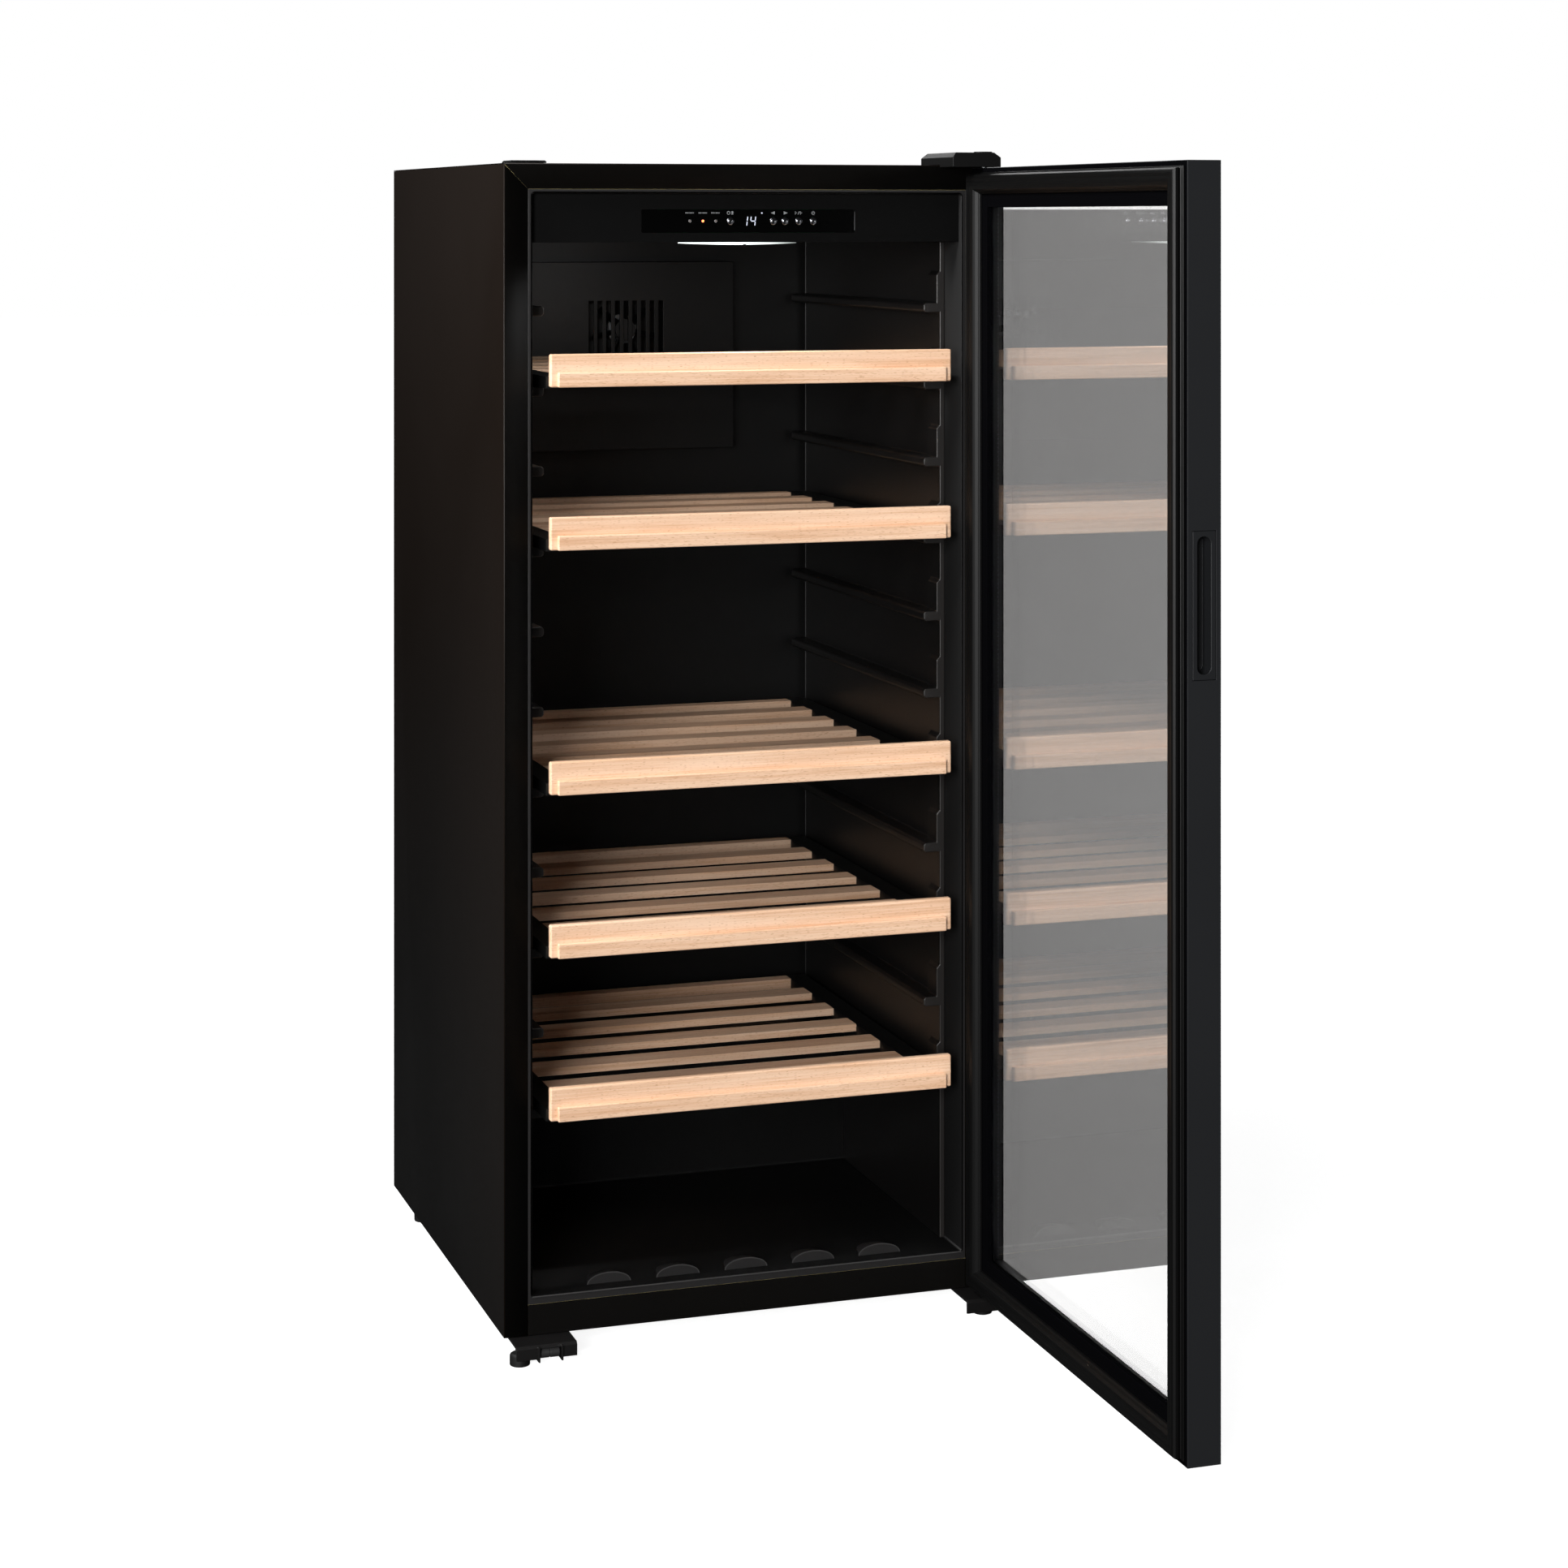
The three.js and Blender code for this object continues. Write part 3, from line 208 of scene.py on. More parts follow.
@dataclass(frozen=True)
class Beech(Finish):
    """Planed beech, clear-lacquered: pale pink-brown with long fine grain and short dark flecks."""

    pale: str = "#e9c8ac"
    middle: str = "#e3bd9e"
    deep: str = "#d3a683"
    fleck: str = "#b98a66"
    grain_mm: float = 1.3
    grain_length_mm: float = 90.0
    band_mm: float = 11.7
    band_length_mm: float = 360.0
    fleck_mm: float = 0.7
    fleck_length_mm: float = 5.0
    fleck_strength: float = 0.6
    relief_mm: float = 0.06
    roughness: float = 0.48
    specular: float = 0.35

    def along(self, tree: Tree, place: Socket, length_mm: float, width_mm: float) -> Socket:
        """Stretches the place along X, so that one unit is a length along it and a width across.

        Args:
            tree: the node tree to add to.
            place: the place to stretch.
            length_mm: what one unit spans along the grain.
            width_mm: what one unit spans across it.

        Returns:
            The stretched place.
        """
        size = (1 / (length_mm * MM), 1 / (width_mm * MM), 1 / (width_mm * MM))
        return add(tree, "ShaderNodeMapping", {"Vector": place, "Scale": size}).outputs["Vector"]

    def dress(self, tree: Tree, surface: Node, place: Socket) -> None:
        """Sets the wood up: grain, broad bands, flecks, a satin lacquer and a slight relief."""
        grain = add(tree, "ShaderNodeTexNoise", {
            "Vector": self.along(tree, place, self.grain_length_mm, self.grain_mm),
            "Scale": 1.0, "Detail": 4.0, "Roughness": 0.6,
        })
        band = add(tree, "ShaderNodeTexNoise", {
            "Vector": self.along(tree, place, self.band_length_mm, self.band_mm),
            "Scale": 1.0, "Detail": 2.0, "Distortion": 0.6,
        })
        both = {0: grain.outputs["Fac"], 1: band.outputs["Fac"]}
        mixed = add(tree, "ShaderNodeMath", both, operation="ADD")
        figure = add(tree, "ShaderNodeMath", {0: mixed.outputs[0], 1: 0.5}, operation="MULTIPLY").outputs[0]
        wood = add(
            tree, "ShaderNodeValToRGB", {"Fac": figure},
            stops=[(0.36, self.deep), (0.5, self.middle), (0.62, self.pale)],
        )
        fleck = add(tree, "ShaderNodeTexNoise", {
            "Vector": self.along(tree, place, self.fleck_length_mm, self.fleck_mm),
            "Scale": 1.0, "Detail": 0.0,
        })
        spots = add(tree, "ShaderNodeMapRange", {
            "Value": fleck.outputs["Fac"], "From Min": 0.66, "From Max": 0.76, "To Max": self.fleck_strength,
        })
        mix = add(tree, "ShaderNodeMixRGB", {
            "Fac": spots.outputs["Result"], "Color1": wood.outputs["Color"], "Color2": linear(self.fleck),
        })
        relief = add(tree, "ShaderNodeBump", {
            "Height": figure, "Distance": self.relief_mm * MM, "Strength": 1.0,
        })
        tree.links.new(mix.outputs["Color"], surface.inputs["Base Color"])
        tree.links.new(relief.outputs["Normal"], surface.inputs["Normal"])
        surface.inputs["Roughness"].default_value = self.roughness
        surface.inputs["Specular IOR Level"].default_value = self.specular


@dataclass(frozen=True)
class PaneGlass(Finish):
    """Tempered float glass, faintly grey."""

    tint: str = "#dfe2e3"
    refraction: float = 1.52

    def dress(self, tree: Tree, surface: Node, place: Socket) -> None:
        """Sets clear glass up."""
        surface.inputs["Base Color"].default_value = linear(self.tint)
        surface.inputs["Transmission Weight"].default_value = 1.0
        surface.inputs["Roughness"].default_value = 0.0
        surface.inputs["IOR"].default_value = self.refraction


@dataclass(frozen=True)
class SoftVinyl(Finish):
    """Extruded soft PVC: matt black with a faint sheen on its ridges."""

    colour: str = "#060606"
    roughness: float = 0.42
    specular: float = 0.16
    ripple_mm: float = 2.0
    ripple_depth_mm: float = 0.02

    def dress(self, tree: Tree, surface: Node, place: Socket) -> None:
        """Sets the vinyl up with the fine ripple that the die leaves."""
        ripple = add(tree, "ShaderNodeTexNoise", {
            "Vector": place, "Scale": 1 / (self.ripple_mm * MM), "Detail": 2.0,
        })
        relief = add(tree, "ShaderNodeBump", {
            "Height": ripple.outputs["Fac"], "Distance": self.ripple_depth_mm * MM, "Strength": 1.0,
        })
        surface.inputs["Base Color"].default_value = linear(self.colour)
        surface.inputs["Roughness"].default_value = self.roughness
        surface.inputs["Specular IOR Level"].default_value = self.specular
        tree.links.new(relief.outputs["Normal"], surface.inputs["Normal"])


@dataclass(frozen=True)
class BareMetal(Finish):
    """Bare metal: aluminium, copper or plated steel, with fine draw lines."""

    colour: str = "#c8cacd"
    roughness: float = 0.28
    line_mm: float = 0.5
    line_depth_mm: float = 0.004
    gloss_spread: float = 0.05

    def dress(self, tree: Tree, surface: Node, place: Socket) -> None:
        """Sets the metal up: colour, gloss and its fine lines."""
        lines = add(tree, "ShaderNodeTexNoise", {
            "Vector": place, "Scale": 1 / (self.line_mm * MM), "Detail": 2.0,
        })
        gloss = add(tree, "ShaderNodeMapRange", {
            "Value": lines.outputs["Fac"],
            "To Min": self.roughness - self.gloss_spread, "To Max": self.roughness + self.gloss_spread,
        })
        relief = add(tree, "ShaderNodeBump", {
            "Height": lines.outputs["Fac"], "Distance": self.line_depth_mm * MM, "Strength": 1.0,
        })
        surface.inputs["Base Color"].default_value = linear(self.colour)
        surface.inputs["Metallic"].default_value = 1.0
        tree.links.new(gloss.outputs["Result"], surface.inputs["Roughness"])
        tree.links.new(relief.outputs["Normal"], surface.inputs["Normal"])


@dataclass(frozen=True)
class Galvanised(Finish):
    """Hot-dip galvanised sheet, with its leafy zinc spangle."""

    spangle_mm: float = 9.0
    pale: str = "#a9adb0"
    deep: str = "#8b9093"
    roughness: float = 0.4
    gloss_spread: float = 0.1
    metallic: float = 0.9

    def dress(self, tree: Tree, surface: Node, place: Socket) -> None:
        """Sets the zinc up: each spangle has its own tone and gloss."""
        cells = add(tree, "ShaderNodeTexVoronoi", {"Vector": place, "Scale": 1 / (self.spangle_mm * MM)})
        tone = add(
            tree, "ShaderNodeValToRGB", {"Fac": cells.outputs["Color"]},
            stops=[(0.0, self.deep), (1.0, self.pale)],
        )
        gloss = add(tree, "ShaderNodeMapRange", {
            "Value": cells.outputs["Color"],
            "To Min": self.roughness - self.gloss_spread, "To Max": self.roughness + self.gloss_spread,
        })
        tree.links.new(tone.outputs["Color"], surface.inputs["Base Color"])
        tree.links.new(gloss.outputs["Result"], surface.inputs["Roughness"])
        surface.inputs["Metallic"].default_value = self.metallic


@dataclass(frozen=True)
class Glow(Finish):
    """A lit surface: a light-emitting diode or a lamp's diffuser."""

    colour: str = "#ffffff"
    strength: float = 4.0
    unlit: str = "#0a0a0a"
    roughness: float = 0.3

    def dress(self, tree: Tree, surface: Node, place: Socket) -> None:
        """Sets the light up."""
        surface.inputs["Base Color"].default_value = linear(self.unlit)
        surface.inputs["Roughness"].default_value = self.roughness
        surface.inputs["Emission Color"].default_value = linear(self.colour)
        surface.inputs["Emission Strength"].default_value = self.strength


@dataclass(frozen=True)
class FadingGlow(Glow):
    """A lamp diffuser that is brightest over its diodes and fades along its length."""

    bright_m: float = 0.0
    dim_m: float = 0.05
    rest: float = 0.12

    def dress(self, tree: Tree, surface: Node, place: Socket) -> None:
        """Sets the light up and lets it fade in X."""
        super().dress(tree, surface, place)
        axes = add(tree, "ShaderNodeSeparateXYZ", {"Vector": place})
        fade = add(tree, "ShaderNodeMapRange", {
            "Value": axes.outputs["X"], "From Min": self.bright_m, "From Max": self.dim_m,
            "To Min": self.strength, "To Max": self.strength * self.rest,
        })
        tree.links.new(fade.outputs["Result"], surface.inputs["Emission Strength"])


@dataclass(frozen=True)
class Print(Finish):
    """Screen-printed ink on the display window."""

    colour: str = "#8e9092"
    thin: str = "#77797b"
    speckle_mm: float = 0.3
    roughness: float = 0.6

    def dress(self, tree: Tree, surface: Node, place: Socket) -> None:
        """Sets the ink up with a faint speckle."""
        speckle = add(tree, "ShaderNodeTexNoise", {"Vector": place, "Scale": 1 / (self.speckle_mm * MM)})
        tone = add(
            tree, "ShaderNodeValToRGB", {"Fac": speckle.outputs["Fac"]},
            stops=[(0.2, self.thin), (0.8, self.colour)],
        )
        tree.links.new(tone.outputs["Color"], surface.inputs["Base Color"])
        surface.inputs["Roughness"].default_value = self.roughness


# Sheet steel sprayed with powder and baked: a satin brown-black that greys where light grazes it.
CASE_PAINT = PaintedSteel("powder_coated_steel_case", "case_paint", "#150f0b", 0.42, 0.16)
# The same powder on the folded front, in a darker copy: painted shade, so the flange takes almost no light.
SHADED_FLANGE_PAINT = PaintedSteel("powder_coated_steel_front_painted_shade", "flange_paint", "#090807", 0.5, 0.08)
# Aluminium bars with a grey-black powder coat: a cooler, paler black than the case.
FRAME_PAINT = PaintedSteel("powder_coated_door_frame", "door_frame", "#1f2022", 0.5, 0.25)
# The frame's inner side, sprayed matt so that nothing shows in it through the glass.
FRAME_BLACK = PaintedSteel("black_frame_lining", "door_frame", "#050506", 0.6, 0.0)
# Pressed steel dipped in enamel: black with a soft highlight along its bends.
BRACKET_PAINT = PaintedSteel("black_enamelled_bracket", "bracket_paint", "#0f0e0e", 0.4, 0.35)
# A welded steel pot with a wet, glossy coat of enamel that shows the lights.
COMPRESSOR_PAINT = PaintedSteel("black_enamelled_compressor", "compressor_paint", "#0c0c0c", 0.3, 0.5)
# ABS sheet sucked into a mould: the grain is stretched wide, so the walls are black with a dull bloom.
LINER_ABS = MouldedPlastic("vacuum_formed_abs_liner", "liner", "#050505", 0.42, 0.2, 2.2, 0.02)
# The same sheet round the mouth, in a paler copy: painted light where it faces the light, so it looks
# charcoal.
LIT_LIP_ABS = MouldedPlastic("vacuum_formed_abs_lip_painted_lit", "liner", "#1f1e1e", 0.42, 0.4, 2.2, 0.02)
# The same sheet, a little smoother, in a pale grey copy: thin painted highlights along the sill bead and the
# bump rims.
HIGHLIGHT_RIM_ABS = MouldedPlastic("vacuum_formed_abs_painted_highlight", "liner", "#3a3939", 0.35, 0.5, 2.2, 0.02)
# Injection-moulded racks, smoother than the liner, so that each ledge has a line of light.
RACK_ABS = MouldedPlastic("moulded_abs_rack", "liner", "#0b0a0a", 0.36, 0.4, 1.4, 0.03)
# The racks' front faces, in a paler charcoal copy: painted light on the faces that turn to the front.
LIT_RACK_FRONT_ABS = MouldedPlastic("moulded_abs_rack_front_painted_lit", "liner", "#211f1e", 0.34, 0.5, 1.4, 0.03)
# Moulded with a coarse leather grain: matt black with no highlight.
FASCIA_ABS = MouldedPlastic("grained_abs_fascia", "fascia", "#070707", 0.6, 0.06, 1.1, 0.05)
# Plain moulded trim: black with soft highlights on its corners.
BLACK_ABS = MouldedPlastic("moulded_black_abs", "black_plastic", "#0c0c0c", 0.42, 0.25, 0.8, 0.02)
# Cast acrylic, smoked: a deep, nearly mirror-flat black.
WINDOW_ACRYLIC = MouldedPlastic("smoked_acrylic_window", "window", "#040404", 0.14, 0.03, 30.0, 0.002)
# The window's sawn and flame-polished end, painted grey: a painted highlight along its right end.
HIGHLIGHT_EDGE_ACRYLIC = MouldedPlastic("acrylic_edge_painted_highlight", "window", "#5c5c5e", 0.2, 0.5, 8.0, 0.002)
# Moulded with a fine spark grain to match the frame's paint.
GRIP_ABS = MouldedPlastic("moulded_grip_abs", "black_plastic", "#1c1d1f", 0.5, 0.3, 0.8, 0.02)
# Turned nylon: dark grey and slightly waxy.
ROLLER_NYLON = MouldedPlastic("grey_nylon_roller", "black_plastic", "#2a2a2a", 0.4, 0.4, 0.8, 0.02)
# Roll-formed spacer with a black coat: matt, a shade bluer than the gasket.
SPACER_BLACK = MouldedPlastic("black_warm_edge_spacer", "zinc_steel", "#08090b", 0.5, 0.3, 0.8, 0.02)
# Bare metal at the punched holes, which shows as small blue-grey dots.
SPACER_HOLES = MouldedPlastic("punched_spacer_holes", "zinc_steel", "#2b3140", 0.3, 0.5, 0.8, 0.02)
# Compression-moulded rubber: matt, with the mould's coarse blast in it.
FOOT_RUBBER = MouldedPlastic("moulded_rubber_foot", "foot_rubber", "#0d0d0d", 0.6, 0.3, 0.7, 0.04)
# Glass-fibre board under cured solder mask: glossy green, with the weave just showing.
BOARD_MASK = MouldedPlastic("green_solder_mask", "board", "#14512f", 0.35, 0.5, 3.0, 0.03)
# Clear acrylic moulding, bright and smooth.
CLEAR_GUIDE = MouldedPlastic("clear_acrylic_guide", "clear_plastic", "#e8ecee", 0.15, 0.5, 3.0, 0.01)
# Poured polyurethane foam: dull straw yellow with open cells at its skin.
FOAM = MouldedPlastic("rigid_foam", "insulation", "#d7c78c", 0.9, 0.2, 2.0, 0.3)
# Planed along the grain, which runs from side to side, then sprayed with satin lacquer.
SHELF_BEECH = Beech("lacquered_beech_across", "beech")
# The inner pane, without tint: it only mirrors the shelves.
CLEAR_GLASS = PaneGlass("clear_tempered_float_glass", "door_glass", "#f6f6f5")
# The outer pane, tinted in the melt: it greys whatever lies behind it.
TINTED_GLASS = PaneGlass("grey_tinted_float_glass", "door_glass", "#a5a4a4")
# Extruded from a die: soft matt black ridges.
GASKET_VINYL = SoftVinyl("extruded_soft_vinyl", "gasket")
# Rolled and left bare: pale grey with a blurred shine.
ALUMINIUM = BareMetal("mill_finish_aluminium", "fin_aluminium", "#bfc2c5", 0.3)
# Drawn through a die and bent: warm and bright along the tube.
COPPER = BareMetal("drawn_copper_tube", "copper", "#c77a4a", 0.25)
# Plated over moulded plastic, satin under the plating: each dome holds a small soft highlight.
BUTTON_CHROME = BareMetal("satin_chrome_button", "button_chrome", "#77787c", 0.2)
# Dipped in molten zinc: the crystals give a mottled grey.
ZINC = Galvanised("galvanised_sheet", "zinc_steel")
# Opal diffuser over a row of diodes: cool white, brightest left of its middle.
LAMP_GLOW = FadingGlow("lit_lamp_diffuser", "clear_plastic", "#eef8f4", 2.6, bright_m=-0.02)
# Diodes behind the smoked window: the tint leaves them a bluish white.
DIGIT_GLOW = Glow("lit_white_digits", "board", "#e6ecff", 1.1)
# The lit indicator's halo, a saturated orange.
AMBER_GLOW = Glow("lit_amber_indicator", "clear_plastic", "#ff5a00", 4.0)
# Its diode, bright enough to look nearly yellow.
AMBER_CORE = Glow("amber_diode_core", "clear_plastic", "#ffa840", 6.0)
# The indicators that are off, with a faint painted glow for the light they pick up from their neighbour.
PAINTED_SPILL_GLOW = Glow("unlit_indicator_painted_glow", "clear_plastic", "#6e3a1a", 0.3)
# Ink pushed through a screen: dull white with thin spots. The speckle is drawn coarser than it is.
INK = Print("white_screen_print", "board")


# ---------- shapes ----------
def cuboid(shape: Shape, low: Vector, high: Vector) -> list[bmesh.types.BMVert]:
    """Adds a block between two corners.

    Args:
        shape: the shape to add to.
        low: the block's lowest corner.
        high: its highest corner.

    Returns:
        The block's vertices.
    """
    low, high = Vector(low), Vector(high)
    made = bmesh.ops.create_cube(shape, size=1.0)["verts"]
    bmesh.ops.scale(shape, vec=high - low, verts=made)
    bmesh.ops.translate(shape, vec=(high + low) / 2, verts=made)
    return made


def soften(shape: Shape, width_mm: float, segments: int = 2, angle: float = 30.0,
           keep: Callable[[bmesh.types.BMEdge], bool] | None = None) -> None:
    """Rounds the sharp edges of a shape.

    Args:
        shape: the shape to round.
        width_mm: how far the rounding reaches from each edge.
        segments: the steps in each rounding.
        angle: edges that turn by more than this many degrees are rounded.
        keep: a test that an edge has to pass to be rounded, or None for all.
    """
    least = math.radians(angle)
    sharp = [e for e in shape.edges if len(e.link_faces) == 2 and e.calc_face_angle(0.0) > least]
    edges = [e for e in sharp if keep is None or keep(e)]
    bmesh.ops.bevel(
        shape, geom=edges, offset=width_mm * MM, offset_type="OFFSET", affect="EDGES",
        segments=segments, profile=0.5, material=-1, clamp_overlap=True,
    )


def copy_of(node: str) -> Shape:
    """Copies a CAD node's shape, merged and with its flat faces whole.

    Args:
        node: the CAD node.

    Returns:
        The copy.
    """
    shape = bmesh.new()
    shape.from_mesh(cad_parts[node].data)
    bmesh.ops.remove_doubles(shape, verts=shape.verts, dist=0.01 * MM)
    bmesh.ops.dissolve_limit(shape, angle_limit=math.radians(1.0), verts=shape.verts, edges=shape.edges)
    return shape


def turned(outline: list[tuple[float, float]], centre: Vector, axis: Vector, steps: int) -> Shape:
    """Spins an outline of (radius, height) points in millimetres round an axis.

    Args:
        outline: the points, from the axis and back to it.
        centre: the point on the axis at height 0.
        axis: the axis that heights are measured along.
        steps: the steps in the full turn.

    Returns:
        The closed shape.
    """
    shape = bmesh.new()
    axis = Vector(axis).normalized()
    side = axis.orthogonal().normalized()
    verts = [shape.verts.new(Vector(centre) + side * (r * MM) + axis * (h * MM)) for r, h in outline]
    edges = [shape.edges.new(pair) for pair in zip(verts, verts[1:])]
    bmesh.ops.spin(
        shape, geom=verts + edges, cent=Vector(centre), axis=axis,
        angle=FULL_TURN, steps=steps, use_merge=True,
    )
    bmesh.ops.remove_doubles(shape, verts=shape.verts, dist=0.005 * MM)
    bmesh.ops.recalc_face_normals(shape, faces=shape.faces)
    return shape


def cut(shape: Shape, at: Vector, outward: Vector, clear: bool = False) -> None:
    """Cuts a shape along a plane.

    Args:
        shape: the shape to cut.
        at: a point on the plane.
        outward: the plane's normal.
        clear: whether what lies on the normal's side is thrown away.
    """
    whole = [*shape.verts, *shape.edges, *shape.faces]
    bmesh.ops.bisect_plane(shape, geom=whole, plane_co=at, plane_no=outward, clear_outer=clear)


def strip(shape: Shape, points: list[Vector], push: Vector) -> None:
    """Draws a line through points and pushes it sideways into a sheet.

    Args:
        shape: the shape to add to.
        points: the line's points, in order.
        push: how far and which way the line is pushed.
    """
    verts = [shape.verts.new(p) for p in points]
    edges = [shape.edges.new(pair) for pair in zip(verts, verts[1:])]
    made = bmesh.ops.extrude_edge_only(shape, edges=edges)["geom"]
    bmesh.ops.translate(shape, vec=push, verts=[g for g in made if isinstance(g, bmesh.types.BMVert)])


def arc(centre: Vector, start: Vector, finish: Vector, steps: int) -> list[Vector]:
    """Works out points on a quarter turn.

    Args:
        centre: the middle of the turn.
        start: from the centre to the first point.
        finish: from the centre to the last point.
        steps: the steps in the turn.

    Returns:
        The points.
    """
    turn = [math.pi / 2 * i / steps for i in range(steps + 1)]
    return [centre + start * math.cos(t) + finish * math.sin(t) for t in turn]


def make(name: str, shape: Shape, finish: Finish, body: Body | str, *nodes: str,
         sharp: float = 32.0) -> Piece:
    """Turns a shape into a finished piece that rides on its body.

    Args:
        name: the piece's name.
        shape: the shape, which is used up.
        finish: the piece's finish.
        body: the body it rides on.
        *nodes: the CAD nodes it stands for.
        sharp: edges that turn by more than this many degrees are shaded sharp.

    Returns:
        The piece.
    """
    mesh = bpy.data.meshes.new(name)
    shape.to_mesh(mesh)
    shape.free()
    mesh.polygons.foreach_set("use_smooth", [True] * len(mesh.polygons))
    mesh.set_sharp_from_angle(angle=math.radians(sharp))
    mesh.materials.append(finish.material())
    piece = bpy.data.objects.new(name, mesh)
    bpy.context.scene.collection.objects.link(piece)
    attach(piece, body.value if isinstance(body, Body) else body)
    if nodes:
        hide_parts(*nodes)
    flat = piece.modifiers.new("flat_faces", "WEIGHTED_NORMAL")
    flat.keep_sharp = True
    flat.weight = 100
    log.info("%s: %d faces", name, len(mesh.polygons))
    return piece


def rounded(node: str, finish: Finish, body: Body, width_mm: float, segments: int = 2) -> Piece:
    """Makes a piece from a CAD node's own shape with its edges rounded.

    Args:
        node: the CAD node.
        finish: the piece's finish.
        body: the body it rides on.
        width_mm: how far the rounding reaches from each edge.
        segments: the steps in each rounding.

    Returns:
        The piece.
    """
    shape = copy_of(node)
    soften(shape, width_mm, segments)
    return make(f"{node}_finished", shape, finish, body, node)


def second_finish(piece: Piece, finish: Finish, test: Callable[[Vector, Vector], bool]) -> None:
    """Gives some of a piece's faces a second finish.

    Args:
        piece: the piece.
        finish: the second finish.
        test: takes a face's middle and its normal, and says whether the face gets it.
    """
    piece.data.materials.append(finish.material())
    for polygon in piece.data.polygons:
        if test(polygon.center, polygon.normal):
            polygon.material_index = len(piece.data.materials) - 1


def dress(finish: Finish, *nodes: str) -> None:
    """Gives CAD nodes that keep their shape their finish.

    Args:
        finish: the finish.
        *nodes: the CAD nodes.
    """
    for node in nodes:
        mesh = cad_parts[node].data
        mesh.materials.clear()
        mesh.materials.append(finish.material())


def box_union(*nodes: str) -> tuple[Vector, Vector]:
    """Finds the box round several CAD nodes.

    Args:
        *nodes: the CAD nodes.

    Returns:
        The box's lowest and highest corners.
    """
    boxes = [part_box(n) for n in nodes]
    low = Vector([min(b[0][i] for b in boxes) for i in range(3)])
    high = Vector([max(b[1][i] for b in boxes) for i in range(3)])
    return low, high


